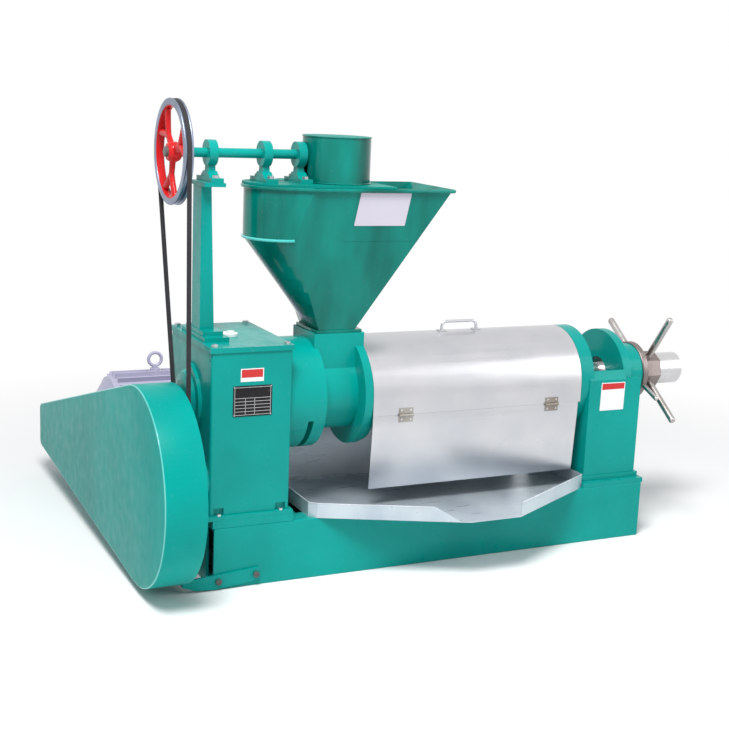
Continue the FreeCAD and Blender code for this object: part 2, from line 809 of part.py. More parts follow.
def can_lid():
    plate = rod_z(can_radius + 1.5, can_top, can_top + 2, can_x, 0)
    spigot = rod_z(can_radius - sheet - GAP, can_top - 8, can_top, can_x, 0)
    spigot = spigot.cut(rod_z(can_radius - sheet - 3, can_top - 9, can_top, can_x, 0))
    return joined([plate, spigot])


def bevel_solid(teeth, mate_teeth, module, face, phase):
    """Straight bevel gear about +Z with its apex at the origin and its large end below."""
    pitch = teeth * module / 2
    cone = math.atan2(teeth, mate_teeth)
    height = pitch / math.tan(cone)
    virtual = pitch / math.cos(cone)
    shrink = 1 - face / math.hypot(pitch, height)
    half_width = math.pi * module / 4 * 0.84

    def spot(rise, side, centre, scale):
        radius = pitch + rise * math.cos(cone)
        drop = -(height - rise * math.sin(cone))
        lean = half_width - rise * math.tan(math.radians(20))
        angle = centre + side * lean * (radius / (virtual + rise)) / radius * (virtual + rise) / radius
        return V(radius * math.cos(angle) * scale, radius * math.sin(angle) * scale, drop * scale)

    low, high = -1.25 * module, 0.95 * module
    foot = pitch + low * math.cos(cone)
    foot_z = -(height - low * math.sin(cone))
    hub_z = foot_z - 10
    blank = [(0, 0, hub_z), (foot * 0.75, 0, hub_z), (foot, 0, foot_z), (foot * shrink, 0, foot_z * shrink),
             (0, 0, foot_z * shrink)]
    gear = turned(blank, (0, 0, 0), (0, 0, 1))
    deep = low - 0.6 * module
    solids = []
    for tooth in range(round(teeth)):
        centre = phase + 2 * math.pi * tooth / teeth
        ring = []
        for scale in (1.0, shrink):
            ring.append([spot(deep, -1, centre, scale), spot(high, -1, centre, scale),
                         spot(high, 1, centre, scale), spot(deep, 1, centre, scale)])
        big, small = ring
        faces = [Part.Face(Part.makePolygon([big[0], big[1], big[2], big[0]])),
                 Part.Face(Part.makePolygon([big[0], big[2], big[3], big[0]])),
                 Part.Face(Part.makePolygon([small[0], small[1], small[2], small[0]])),
                 Part.Face(Part.makePolygon([small[0], small[2], small[3], small[0]]))]
        for k in range(4):
            n = (k + 1) % 4
            faces.append(Part.Face(Part.makePolygon([big[k], big[n], small[n], big[k]])))
            faces.append(Part.Face(Part.makePolygon([big[k], small[n], small[k], big[k]])))
        shell = Part.makeShell(faces)
        shell.sewShape()
        solids.append(Part.Solid(shell))
    return joined([gear] + solids)


def bevel_pinion():
    pinion = bevel_solid(bevel_pinion_teeth, bevel_gear_teeth, bevel_module, bevel_face,
                         math.pi / bevel_pinion_teeth)
    pinion = pinion.cut(rod(feeder_shaft_radius, (0, 0, -120), (0, 0, 1), 200))
    pinion.rotate(V(0, 0, 0), V(0, 1, 0), 90)
    pinion.translate(V(can_x, 0, feeder_z))
    return pinion


def bevel_gear():
    gear = bevel_solid(bevel_gear_teeth, bevel_pinion_teeth, bevel_module, bevel_face, math.pi)
    gear = gear.cut(rod(auger_shaft_radius, (0, 0, -120), (0, 0, 1), 200))
    gear.translate(V(can_x, 0, feeder_z))
    return gear


def helix_flight(pitch, turns, core, tip, root_width, tip_width):
    """Helical flight about +Z from z 0, its section a trapezoid set into the core."""
    path = Part.makeHelix(pitch, pitch * turns, core)
    deep = core - 2.5
    half_root, half_tip = root_width / 2, tip_width / 2
    section = Part.makePolygon([V(deep, 0, -half_root), V(tip, 0, -half_tip), V(tip, 0, half_tip),
                                V(deep, 0, half_root), V(deep, 0, -half_root)])
    return Part.Wire(path).makePipeShell([section], True, True)


def feed_auger():
    """Vertical screw that pushes seed from the hopper down the throat."""
    low = axis_z + bore_radius + 14
    flight = helix_flight(auger_pitch, 3.5, auger_shaft_radius, auger_radius, 6, 4)
    flight.translate(V(can_x, 0, low + 4))
    shaft = rod_z(auger_shaft_radius, low, feeder_z - 34, can_x, 0)
    collar = rod_z(24, pedestal_seat + 6 + GAP, pedestal_seat + 16, can_x, 0)
    return joined([shaft, flight, collar])


def feed_throat():
    """Casting between gearbox and cage: drum, square chute, worm barrel and end ring."""
    drum = rod_x(shell_radius + 2, gearbox_right, throat_drum_end)
    barrel = rod_x(throat_body_radius, throat_drum_end - 1, throat_ring_left + 1)
    ring = rod_x(shell_radius + 4, throat_ring_left, throat_end)
    seat = rod_x(shell_radius - hood_sheet - GAP, throat_end, throat_end + 16)
    chute = block(collar_left, collar_right, -collar_half_depth, collar_half_depth, axis_z, collar_top)
    body = joined([drum, barrel, ring, seat, chute])
    body = body.cut(rod_x(bore_radius, gearbox_right + 60, throat_end + 40))
    body = body.cut(rod_x(counter_bearing_radius + 18, gearbox_right - 1, gearbox_right + 20, counter_y, counter_z))
    body = body.cut(rod_x(spindle_bearing_radius + 6, gearbox_right - 1, gearbox_right + 40))
    body = body.cut(rod_x(spindle_seat_radius + 3, gearbox_right - 1, gearbox_right + 70))
    body = body.cut(block(outlet_left + sheet, outlet_right - sheet, -outlet_half_depth + sheet,
                          outlet_half_depth - sheet, axis_z, collar_top + 1).cut(
                              block(-900, 900, bore_radius - 2, 300, 0, axis_z + 70)).cut(
                                  block(-900, 900, -300, -bore_radius + 2, 0, axis_z + 70)))
    groove = ring_x(shell_radius + 20, 146, throat_drum_end - 58, throat_drum_end - 40)
    return body.cut(groove.common(block(-900, 900, -300, 300, 0, axis_z - 60)))


def cage_half(up):
    """Half of the press cage: ribs, two joint bars along the sides and end flanges."""
    z0, z1 = (axis_z, axis_z + 400) if up > 0 else (axis_z - 400, axis_z)
    ribs = []
    span = cage_end - throat_end
    step = (span - rib_width) / (rib_count - 1)
    seat = bore_radius + bar_depth
    for k in range(rib_count):
        x = throat_end + k * step
        outer = rib_outer
        if k in (0, rib_count - 1):
            outer = rib_outer + 18
        left = x + (16.5 if k == 0 else 0.0)
        ribs.append(ring_x(outer, seat, left, x + rib_width))
    bars = []
    for side in (1, -1):
        y0, y1 = sorted((side * (seat + 4), side * joint_bar_reach))
        bars.append(block(throat_end + 16.5, cage_end, y0, y1,
                          axis_z - joint_bar_height, axis_z + joint_bar_height))
    half = joined(ribs + bars).common(block(-900, 900, -400, 400, z0, z1))
    for x, y in cage_bolt_spots():
        half = half.cut(rod_z(10 + BOLT_GAP, axis_z - 60, axis_z + 60, x, y))
    return half


def cage_bolt_spots():
    span = cage_end - throat_end
    step = (span - rib_width) / (rib_count - 1)
    spots = []
    for k in range(1, rib_count - 1):
        x = throat_end + k * step + rib_width / 2
        for y in (-joint_bar_reach + 15, joint_bar_reach - 15):
            spots.append((x + step / 2, y))
    return spots


def cage_bolts():
    bolts = []
    for x, y in cage_bolt_spots():
        bolts.append(bolt((x, y, axis_z + joint_bar_height), (0, 0, 1), 20, 2 * joint_bar_height + 14))
    return bolts


def barrel_bars():
    """Pressing bars that line the cage with narrow oil slots between them."""
    bars = []
    outer = bore_radius + bar_depth - 0.05
    for k in range(bar_count):
        middle = 2 * math.pi * (k + 0.5) / bar_count
        half_in = math.pi / bar_count - bar_slot / 2 / bore_radius
        half_out = math.pi / bar_count - bar_slot / 2 / outer
        x = throat_end + 16.5
        corners = []
        for radius, half in ((bore_radius, half_in), (outer, half_out)):
            for side in (-1, 1):
                angle = middle + side * half
                corners.append((x, radius * math.cos(angle), axis_z + radius * math.sin(angle)))
        bars.append(prism([corners[0], corners[1], corners[3], corners[2]], (cage_end - x, 0, 0)))
    return bars


worm_outer = 61.0
worm_start = throat_drum_end - 56.0
worm_stop = cage_end - 16.0
feed_worm_length = 250.0
worm_sizes = ((92.0, 34.0, 36.0), (62.0, 38.0, 41.0), (54.0, 42.0, 45.0),
              (48.0, 46.0, 49.0), (42.0, 49.0, 52.0), (38.0, 52.0, 55.0))


def worm_segment(x, length, pitch, core_in, core_out):
    """One keyed worm: a tapering core ring with its helical flight."""
    flight_core = min(core_in, core_out)
    turns = (length - pitch * 0.35) / pitch
    flight = helix_flight(pitch, turns, flight_core, worm_outer, 16, 10)
    flight.rotate(V(0, 0, 0), V(0, 1, 0), 90)
    flight.translate(V(x + 9, 0, axis_z))
    flight = flight.common(rod_x(worm_outer + 5, x, x + length))
    core = turned_x([(x, spindle_radius), (x, core_in), (x + length, core_out), (x + length, spindle_radius)])
    flight = flight.cut(rod_x(spindle_radius, x - 50, x + length + 50))
    return joined([core, flight])


def worm_segments():
    """The feed worm and the five shorter worms that follow it to the end of the cage."""
    worms = []
    x = worm_start
    press_worm_length = (worm_stop - worm_start - feed_worm_length) / (len(worm_sizes) - 1)
    for k, (pitch, core_in, core_out) in enumerate(worm_sizes):
        length = press_worm_length if k else feed_worm_length
        worms.append(worm_segment(x, length, pitch, core_in, core_out))
        x += length
    return worms


spindle_tail = 36.0
cone_start = worm_stop
cone_end = ring_end + 22


def press_spindle():
    """Stepped main shaft from the gearbox through the cage to the adjusting sleeve."""
    seat = rod_x(spindle_seat_radius, gearbox_left, worm_start - 20)
    front = rod_x(spindle_radius, worm_start - 21, cone_start + 30)
    tail = rod_x(spindle_tail, cone_start + 30, boss_end - 6)
    return joined([seat, front, tail])


def cake_cone():
    """Conical ring on the spindle that sets the thickness of the cake."""
    x = cone_start
    return turned_x([(x, spindle_radius), (x, 55), (x + 20, 58), (cone_end - 40, 72), (cone_end, 74),
                     (cone_end, spindle_tail), (x + 30, spindle_tail), (x + 30, spindle_radius)])


def discharge_ring():
    """Round end casting that closes the cage and leaves a conical mouth for the cake."""
    body = rod_x(shell_radius, cage_end + 12, ring_end)
    flange = rod_x(shell_radius - hood_sheet - GAP, cage_end, cage_end + 12)
    lap = rod_x(shell_radius, ring_end - 1, ring_end + ring_lap)
    lap = lap.common(block(ring_end - 2, ring_end + ring_lap + 2, -300, 300, column_shoulder_z + GAP, axis_z + 300))
    body = joined([body, flange, lap])
    mouth = turned_x([(cage_end - 1, 0), (cage_end - 1, bore_radius + 12), (ring_end + ring_lap + 1, bore_radius + 24),
                      (ring_end + ring_lap + 1, 0)])
    return body.cut(mouth)


arch_centre_z = axis_z - 15.0


def column():
    """Cast stand: open cradle for the cake, arched end wall, boss for the sleeve and a foot."""
    half = shell_radius + 3
    box = block(column_left, column_right, -half, half, column_foot_z, column_shoulder_z)
    foot = block(column_left - 10, column_right + 12, -half - 6, half + 6, column_foot_z, column_foot_z + 18)
    arch_left = column_right - column_wall
    arch = rod_x(arch_radius, arch_left, arch_left + arch_wall, 0.0, arch_centre_z)
    bevel = []
    for side in (1, -1):
        edge = side * half
        inner = side * (half - column_side_wall)
        bevel.append(prism([(column_left, edge, column_shoulder_z), (column_left, inner, column_shoulder_z),
                            (column_left, inner, column_shoulder_z + 30), (column_left, inner + side * 6,
                                                                            column_shoulder_z + 30)],
                           (column_right - column_wall - column_left, 0, 0)))
    boss = rod_x(boss_radius, arch_left + arch_wall - 1, boss_end)
    ring_room = rod_x(shell_radius + GAP, column_left - 1, ring_end + ring_lap + GAP)
    bevel = [piece.cut(ring_room) for piece in bevel]
    body = joined([box, foot, arch, boss] + bevel)
    x0, x1 = column_left + column_left_wall, column_right - column_wall
    inner = half - column_side_wall
    body = body.cut(block(x0, x1, -inner, inner, axis_z - 240, axis_z + 330))
    body = body.cut(block(x0, x1, inner - 1, half + 20, axis_z - 240, axis_z - 100))
    body = body.cut(rod_x(cake_mouth, column_left - 1, x0 + 1))
    body = body.cut(block(column_left - 1, x0 + 1, -cake_mouth, cake_mouth, axis_z, 900))
    body = body.cut(rod_x(sleeve_radius + RUN, x1 - 1, boss_end + 1))
    return body.cut(block(x0 + 10, column_right - 24, -half + 24, half - 24, column_foot_z - 1, axis_z - 260))


cake_mouth = 104.0


def column_bolts():
    bolts = []
    for x in (column_left + 24, column_right - 30):
        for y in (-shell_radius + 2, shell_radius - 2):
            bolts.append((x, y))
    return bolts


def adjusting_sleeve():
    """Screwed steel sleeve that carries the tail of the spindle, with a closed outer end."""
    x0 = column_right - column_wall + 2
    sleeve = rod_x(sleeve_radius, x0, sleeve_end)
    return sleeve.cut(rod_x(spindle_tail + RUN, x0 - 1, boss_end + 30))


def adjusting_nut():
    """Cast nut with a round flange and a hub that holds the turning rods."""
    x0 = boss_end + GAP
    flange = rod_x(nut_flange_radius, x0, x0 + nut_flange_thick)
    flange = flange.makeChamfer(3.0, [e for e in flange.Edges if e.Length > 400][:2])
    corners = []
    for k in range(8):
        angle = math.radians(45 * k - 9)
        reach = nut_hub_radius / math.cos(math.pi / 8)
        corners.append((x0 + nut_flange_thick - 1, -reach * math.cos(angle), axis_z + reach * math.sin(angle)))
    hub = prism(corners, (nut_hub_end - x0 - nut_flange_thick + 1, 0, 0))
    nut = joined([flange, hub]).cut(rod_x(sleeve_radius + RUN, x0 - 1, nut_hub_end + 1))
    for item in nut_rods():
        nut = nut.cut(item)
    return nut


def handle_rod(x, angle, start, reach, radius):
    """Round bar with a domed end that stands radially out of the nut."""
    a = math.radians(angle)
    out = V(0, -math.cos(a), math.sin(a))
    centre = V(x, 0, axis_z)
    bar = Part.makeCylinder(radius, reach - radius - start, centre + out * start, out)
    return joined([bar, Part.makeSphere(radius, centre + out * (reach - radius))])


def nut_rods():
    x = (boss_end + nut_flange_thick + nut_hub_end) / 2
    rods = []
    for k in range(4):
        rods.append(handle_rod(x, rod_angle + 90 * k, sleeve_radius + 3, rod_reach, rod_radius))
    rods.append(handle_rod(boss_end + GAP + nut_flange_thick / 2, -22, nut_flange_radius - 26, 196, 9.0))
    return rods


def hood_profile(radius):
    """Wire of the hood section: half round over the cage and straight sides below."""
    start = V(0, -radius, hood_edge_z)
    left = V(0, -radius, axis_z)
    top = V(0, 0, axis_z + radius)
    right = V(0, radius, axis_z)
    end = V(0, radius, hood_edge_z)
    return [Part.LineSegment(start, left).toShape(), Part.Arc(left, top, right).toShape(),
            Part.LineSegment(right, end).toShape()]


def hood_shell():
    """Rolled sheet cover over the cage, resting on the throat ring and the discharge ring."""
    outer = hood_profile(shell_radius)
    inner = hood_profile(shell_radius - hood_sheet)
    links = []
    for k, corner in ((0, -1), (2, 1)):
        a = V(0, corner * shell_radius, hood_edge_z)
        b = V(0, corner * (shell_radius - hood_sheet), hood_edge_z)
        links.append(Part.LineSegment(a, b).toShape())
    wire = Part.Wire(Part.__sortEdges__(outer + inner + links))
    shell = Part.Face(wire).extrude(V(hood_right - hood_left, 0, 0))
    shell.translate(V(hood_left, 0, 0))
    return shell


hinge_z = hood_edge_z - 3.5
hinge_spots = (hood_left + 119.0, hood_right - 120.0)
hinge_width = 52.0
hinge_stand = 5.0


def hinge_knuckles(fixed):
    """Knuckles and leaf of the two small hinges, either on the hood or on the flap."""
    pieces = []
    y = -shell_radius - hinge_stand
    third = hinge_width / 3
    for x in hinge_spots:
        x0 = x - hinge_width / 2
        spans = ((x0, x0 + third - 0.3), (x0 + 2 * third + 0.3, x0 + hinge_width)) if fixed else (
            (x0 + third + 0.3, x0 + 2 * third - 0.3),)
        z0, z1 = (hinge_z, hinge_z + 24) if fixed else (hinge_z - 24, hinge_z)
        face = -shell_radius
        leaf = block(x0, x0 + hinge_width, face - 1.8, face - 0.05, hinge_z + 5.0, z1) if fixed else block(
            x0, x0 + hinge_width, face - 1.8, face - 0.05, z0, hinge_z - 5.0)
        parts = [leaf]
        for a, b in spans:
            z_low, z_high = (hinge_z, hinge_z + 5.5) if fixed else (hinge_z - 5.5, hinge_z)
            parts.append(block(a, b, y, face - 0.05, z_low, z_high))
            parts.append(rod_x(4.6, a, b, y, hinge_z))
        piece = joined(parts)
        bore = hinge_pin_radius if fixed else hinge_pin_radius + RUN
        pieces.append(piece.cut(rod_x(bore, x0 - 1, x0 + hinge_width + 1, y, hinge_z)))
    return pieces


def hinge_pins():
    pins = []
    for x in hinge_spots:
        pins.append(rod_x(hinge_pin_radius, x - hinge_width / 2, x + hinge_width / 2, -shell_radius - hinge_stand, hinge_z))
    return pins


def hood_handle():
    """Bow of round bar with two foot plates on the crown of the hood."""
    x0, x1, z = hood_left + 334, hood_left + 469, axis_z + shell_radius
    r = 5.0
    rise = 32.0
    feet = [block(x - 14, x + 14, -11, 11, z + 0.05, z + 4) for x in (x0, x1)]
    path = [V(x0, 0, z + 3), V(x0, 0, z + rise - 18), V(x0 + 18, 0, z + rise), V(x1 - 18, 0, z + rise),
            V(x1, 0, z + rise - 18), V(x1, 0, z + 3)]
    d = 18 * (1 - math.sqrt(0.5))
    bends = [V(x0 + d, 0, z + rise - d), V(x1 - d, 0, z + rise - d)]
    edges = [Part.LineSegment(path[0], path[1]).toShape(), Part.Arc(path[1], bends[0], path[2]).toShape(),
             Part.LineSegment(path[2], path[3]).toShape(), Part.Arc(path[3], bends[1], path[4]).toShape(),
             Part.LineSegment(path[4], path[5]).toShape()]
    ring = Part.Wire(Part.Circle(path[0], V(0, 0, 1), r).toShape())
    bow = Part.Wire(edges).makePipeShell([ring], True, False)
    return joined(feet + [bow])


def hood_flap():
    """Hanging sheet door below the hood edge that leans in towards the tray."""
    y = -shell_radius
    s = hood_sheet
    z1 = hinge_z - 0.7
    z2 = hinge_z - 30
    z3 = flap_bottom_z
    profile = [(hood_left, y, z1), (hood_left, y, z2), (hood_left, y + flap_lean, z3),
               (hood_left, y + flap_lean + s, z3), (hood_left, y + s, z2), (hood_left, y + s, z1)]
    return prism(profile, (flap_right - hood_left, 0, 0))


def tray_outline(inset):
    """Plan of the oil tray: a wide pan that narrows to a spout in front of the base."""
    bevel = 0.41 * inset
    return [(tray_left + inset, -half_base + tray_corner + bevel), (tray_left + tray_corner + bevel, -half_base + inset),
            (tray_spout_left + inset * 0.6, tray_spout_y + inset),
            (tray_spout_right - inset * 0.6, tray_spout_y + inset), (tray_right - inset, -half_base + 14 + inset),
            (tray_right - inset, tray_back - inset), (tray_left + inset, tray_back - inset)]


tray_back = 206.0


def oil_tray():
    bottom = base_height
    outer = prism([(x, y, bottom) for x, y in tray_outline(0)], (0, 0, tray_rim))
    inner = prism([(x, y, bottom + tray_sheet) for x, y in tray_outline(tray_sheet)], (0, 0, tray_rim))
    tray = outer.cut(inner)
    lip = block(tray_spout_left - 30, tray_spout_right + 2, tray_spout_y - 5, tray_spout_y + 14,
                bottom + tray_sheet, bottom + tray_rim + 1)
    slope = prism([(tray_spout_left - 110, tray_spout_y - 5, bottom + tray_rim + 1),
                   (tray_spout_left - 30, tray_spout_y - 5, bottom + tray_sheet),
                   (tray_spout_left + 20, tray_spout_y - 5, bottom + tray_sheet),
                   (tray_spout_left + 20, tray_spout_y - 5, bottom + tray_rim + 1)], (0, 70, 0))
    tray = tray.cut(lip).cut(slope)
    return tray


def splash_plate():
    """Upright sheet behind the cage that sheds oil into the tray."""
    y = tray_back - tray_sheet
    z0 = base_height + tray_sheet
    outline = [(tray_left + 30, y, z0), (tray_left + 30, y - 2, z0), (tray_left + 30, y - 2, splash_top),
               (tray_left + 30, y, splash_top)]
    plate = prism(outline, (tray_right - 30 - tray_left - 30, 0, 0))
    flange = block(tray_left + 30, tray_right - 30, y - 22, y, z0, z0 + 2)
    return joined([plate, flange])


def guard_outline(inset):
    """Edges of the guard face in y and z: a large arc in front and a small rounded end behind."""
    radius = guard_radius - inset
    centre = (input_y, input_z)
    corners = [(guard_end_y - inset, guard_end_bottom + inset * 0.9), (guard_end_y - inset, guard_end_top - inset * 0.9)]

    def tangent(point, side):
        dy, dz = centre[0] - point[0], centre[1] - point[1]
        span = math.hypot(dy, dz)
        line = math.atan2(dz, dy)
        lean = math.asin(radius / span)
        length = math.sqrt(span * span - radius * radius)
        angle = line + side * lean
        return (point[0] + length * math.cos(angle), point[1] + length * math.sin(angle))

    low = tangent(corners[0], 1)
    high = tangent(corners[1], -1)
    front = (centre[0] - radius, centre[1])
    return corners, low, high, front


def guard_solid(x0, x1, inset):
    corners, low, high, front = guard_outline(inset)
    edges = [Part.LineSegment(V(x0, *low), V(x0, *corners[0])).toShape(),
             Part.LineSegment(V(x0, *corners[0]), V(x0, *corners[1])).toShape(),
             Part.LineSegment(V(x0, *corners[1]), V(x0, *high)).toShape(),
             Part.Arc(V(x0, *high), V(x0, *front), V(x0, *low)).toShape()]
    solid = Part.Face(Part.Wire(edges)).extrude(V(x1 - x0, 0, 0))
    sharp = [e for e in solid.Edges if abs(e.Vertexes[0].Y - corners[0][0]) < 0.1
             and abs(e.Vertexes[-1].Y - corners[0][0]) < 0.1 and abs(e.Vertexes[0].Z - e.Vertexes[-1].Z) < 0.1]
    return solid.makeFillet(28.0 - inset, sharp)


def belt_guard():
    """Teardrop sheet cover over the drive belts, open towards the gearbox inside a narrow lip."""
    outer = guard_solid(guard_left, guard_right, 0.0)
    inner = guard_solid(guard_left + guard_sheet, guard_right - guard_sheet, guard_sheet)
    mouth = guard_solid(guard_right - guard_sheet - 1, guard_right + 1, guard_lip - 5)
    return outer.cut(inner).cut(mouth)


def guard_bracket():
    """Flat bar bolted to the front rail that carries the front of the guard."""
    y = -half_base
    right, bend, tip = left_end + 150, left_end + 4, left_end - 60
    bar = prism([(right, y, 44), (right, y, 62), (left_end + 30, y, 52), (tip, y, 46), (guard_right, y, 40),
                 (guard_right, y, 22), (tip, y, 8), (bend, y, 4), (right, y, 20)], (0, -8, 0))
    tab = block(guard_right, guard_right + 8, y - 8, y + 44, 22, 60)
    body = joined([bar, tab])
    for point in bracket_bolts:
        body = body.cut(bolt_hole(point, (0, -1, 0), 12, 30))
    return body


def bracket_bolt_set():
    return [bolt(point, (0, -1, 0), 12, 26) for point in bracket_bolts]


stay_y = 900.0


def guard_stays():
    """Stud from the gearbox wall and angle from the motor rails that hold the back of the guard."""
    stud = rod_x(9, guard_right, gearbox_left, 150.0, stud_z())
    low = low_edge_z(stay_y) + 6
    foot = block(guard_right, rail_x[0] - rail_width / 2, stay_y - 20, stay_y + 20, 0, 6)
    leg = block(guard_right, guard_right + 6, stay_y - 20, stay_y + 20, 0, low + 12)
    return [stud, joined([foot, leg])]


def low_edge_z(y):
    corners, low, high, front = guard_outline(0.0)
    share = (y - low[0]) / (corners[0][0] - low[0])
    return low[1] + (corners[0][1] - low[1]) * share


def stud_z():
    corners, low, high, front = guard_outline(0.0)
    share = (150.0 - high[0]) / (corners[1][0] - high[0])
    return high[1] + (corners[1][1] - high[1]) * share - 14


rail_x = (motor_body_left + 40.0, motor_body_left + 40.0 + rail_foot_spacing)


def motor_rails():
    rails = []
    for x in rail_x:
        rail = block(x - rail_width / 2, x + rail_width / 2, half_base, motor_y + 240, 0, rail_height)
        for y in (motor_y - foot_hole_spacing / 2, motor_y + foot_hole_spacing / 2):
            slot = block(x - 9, x + 9, y - 40, y + 40, -1, rail_height + 1)
            rail = rail.cut(slot)
        rails.append(rail)
    return rails


def motor_frame():
    """Finned cast frame with two feet along its length."""
    x0, x1 = motor_body_left, motor_body_right
    body = rod_x(motor_body_radius, x0, x1, motor_y, motor_z)
    fins = []
    for k in range(motor_fins):
        angle = 360.0 * (k + 0.5) / motor_fins
        if 225 < angle < 315:
            continue
        fin = block(x0 + 6, x1 - 6, motor_body_radius - 6, motor_outer, -3, 3)
        fin.rotate(V(0, 0, 0), V(1, 0, 0), angle)
        fin.translate(V(0, motor_y, motor_z))
        fins.append(fin)
    feet = []
    for side in (1, -1):
        y0, y1 = sorted((side * 84, side * 200))
        feet.append(block(rail_x[0] - 34, rail_x[1] + 34, motor_y + y0, motor_y + y1, rail_height, rail_height + 22))
        feet.append(block(rail_x[0] - 20, rail_x[1] + 20, motor_y + min(side * 90, side * 130),
                          motor_y + max(side * 90, side * 130), rail_height + 20, motor_z - 70))
    pad_y = -motor_body_radius
    pad = block(box_x - 60, box_x + 60, motor_y + pad_y - 24, motor_y + pad_y + 40, motor_z - 20, motor_z + 90)
    boss = rod_z(26, motor_z + motor_body_radius - 10, motor_z + motor_outer, eye_x, motor_y)
    frame = joined([body] + fins + feet + [pad, boss])
    frame = frame.cut(rod_x(motor_body_radius - 14, x0 - 1, x1 + 1, motor_y, motor_z))
    for x in rail_x:
        for y in (motor_y - foot_hole_spacing / 2, motor_y + foot_hole_spacing / 2):
            frame = frame.cut(rod_z(8 + BOLT_GAP, rail_height - 1, rail_height + 30, x, y))
    return frame


box_x = motor_body_left + 90.0
eye_x = motor_body_left + 171.0
shield_wall = 12.0


def end_shield(x_face, out, nose, bore):
    """Domed end shield with a bearing hub; out is the way it faces."""
    r = motor_body_radius
    profile = [(0, r - 14 - 0.05), (-12, r - 14 - 0.05), (-12, r - 26), (10, r - 30), (nose - 18, 62), (nose - 30, 56),
               (nose - 34, bore + RUN), (nose, bore + RUN), (nose, 68), (nose - 12, 80), (22, r - 14), (14, r), (0, r)]
    points = [(x_face + out * x, radius) for x, radius in profile]
    return turned_x(points, motor_y, motor_z)


def motor_shields():
    front = end_shield(motor_body_left, -1, motor_body_left - motor_front, motor_shaft_radius)
    back = end_shield(motor_body_right, 1, 60.0, motor_shaft_radius)
    return [front, back]


def fan_cowl():
    """Pressed sheet cowl with a ring of air slots in its end."""
    x0 = motor_body_right + 14
    x1 = x0 + cowl_length
    cowl = rod_x(motor_outer - 4, x0, x1, motor_y, motor_z)
    cowl = cowl.cut(rod_x(motor_outer - 6, x0 - 1, x1 - 2, motor_y, motor_z))
    for ring, count in ((70, 8), (120, 12)):
        for k in range(count):
            angle = 360.0 * k / count
            slot = block(x1 - 10, x1 + 5, ring - 20, ring + 20, -6, 6)
            slot.rotate(V(0, 0, 0), V(1, 0, 0), angle)
            slot.translate(V(0, motor_y, motor_z))
            cowl = cowl.cut(slot)
    seat = ring_x(motor_outer - 6, motor_body_radius + 0.05, x0 - 12, x0, motor_y, motor_z)
    return joined([cowl, seat.common(block(-2000, 2000, -2000, 2000, rail_height + 24, 2000))])


def terminal_box():
    y1 = motor_y - motor_body_radius - 24
    box = block(box_x - 66, box_x + 66, y1 - 62, y1, motor_z - 26, motor_z + 96)
    box = box.makeFillet(8.0, [e for e in box.Edges if abs(e.Vertexes[0].Y - e.Vertexes[-1].Y) > 20])
    cover = block(box_x - 70, box_x + 70, y1 - 72, y1 - 62, motor_z - 30, motor_z + 100)
    gland = rod_z(15, motor_z - 58, motor_z - 26, box_x - 30, y1 - 32)
    gland = gland.cut(rod_z(8, motor_z - 60, motor_z - 20, box_x - 30, y1 - 32))
    return joined([box, cover, gland])


def eye_bolt():
    z0 = motor_z + motor_outer
    ring = Part.makeTorus(26, 6.5, V(eye_x, motor_y, z0 + 44), V(0, 1, 0))
    stem = rod_z(10, z0, z0 + 20, eye_x, motor_y)
    collar = rod_z(19, z0, z0 + 8, eye_x, motor_y)
    return joined([ring, stem, collar])


def stator():
    return ring_x(motor_body_radius - 14.05, 108, motor_body_left + 60, motor_body_right - 60, motor_y, motor_z)


def motor_rotor():
    """Shaft with the laminated rotor core shrunk on it."""
    shaft = rod_x(motor_shaft_radius, pulley_x - pulley_half, motor_body_right + 120, motor_y, motor_z)
    core = rod_x(107, motor_body_left + 62, motor_body_right - 62, motor_y, motor_z)
    return joined([shaft, core])


def motor_fan():
    x0 = motor_body_right + 74
    hub = rod_x(44, x0, x0 + 40, motor_y, motor_z)
    disc = rod_x(140, x0 + 30, x0 + 36, motor_y, motor_z)
    blades = []
    for k in range(6):
        blade = block(x0, x0 + 31, 40, 150, -2.5, 2.5)
        blade.rotate(V(0, 0, 0), V(1, 0, 0), 60.0 * k)
        blade.translate(V(0, motor_y, motor_z))
        blades.append(blade)
    fan = joined([hub, disc] + blades)
    return fan.cut(rod_x(motor_shaft_radius, x0 - 1, x0 + 60, motor_y, motor_z))


def gearbox_bolts():
    bolts = [bolt(p, (0, 0, 1), 12, 50) for p in lid_bolt_points]
    return bolts + [bolt(p, (0, 0, 1), foot_bolt_size, gearbox_foot + 16) for p in foot_bolt_points]


def plinth():
    plate = block(gearbox_left + 9, gearbox_left + 9 + plinth_length, -half_base, half_base, base_height, plinth_top)
    for point in foot_bolt_points:
        plate = plate.cut(bolt_hole(point, (0, 0, 1), foot_bolt_size, gearbox_foot + 16))
    return plate


def column_pad():
    return block(column_left - 15, base_length / 2 + 6, -half_base + 2, half_base - 2, base_height, column_foot_z)


os.makedirs("parts", exist_ok=True)
save("base_rail_front", [base_rail(-1)])
save("base_rail_rear", [base_rail(1)])
save("base_cross_members", [cross_member(x) for x in (left_end, left_end + 250, -25.0, right_end - 250, right_end - 50)])
save("gearbox_plinth", [plinth()])
save("column_pad", [column_pad()])
save("motor_slide_rails", motor_rails())
save("gearbox_housing", [gearbox_housing()])
save("gearbox_lid", [gearbox_lid()])
save("gearbox_bolts", gearbox_bolts())
save("oil_filler_cap", [filler_cap()])
save("spindle_bearing_cap", [main_cap()])
save("shaft_bearing_caps", [small_cap(gearbox_left, -1, input_y, input_z, input_bearing_radius, input_shaft_radius),
                            small_cap(gearbox_left, -1, counter_y, counter_z, counter_bearing_radius, 0),
                            small_cap(gearbox_right, 1, counter_y, counter_z, counter_bearing_radius, 0)])
save("gearbox_bearings", gearbox_bearings())
save("input_shaft", [input_shaft()])
save("countershaft", [countershaft()])
save("counter_gear", [counter_gear()])
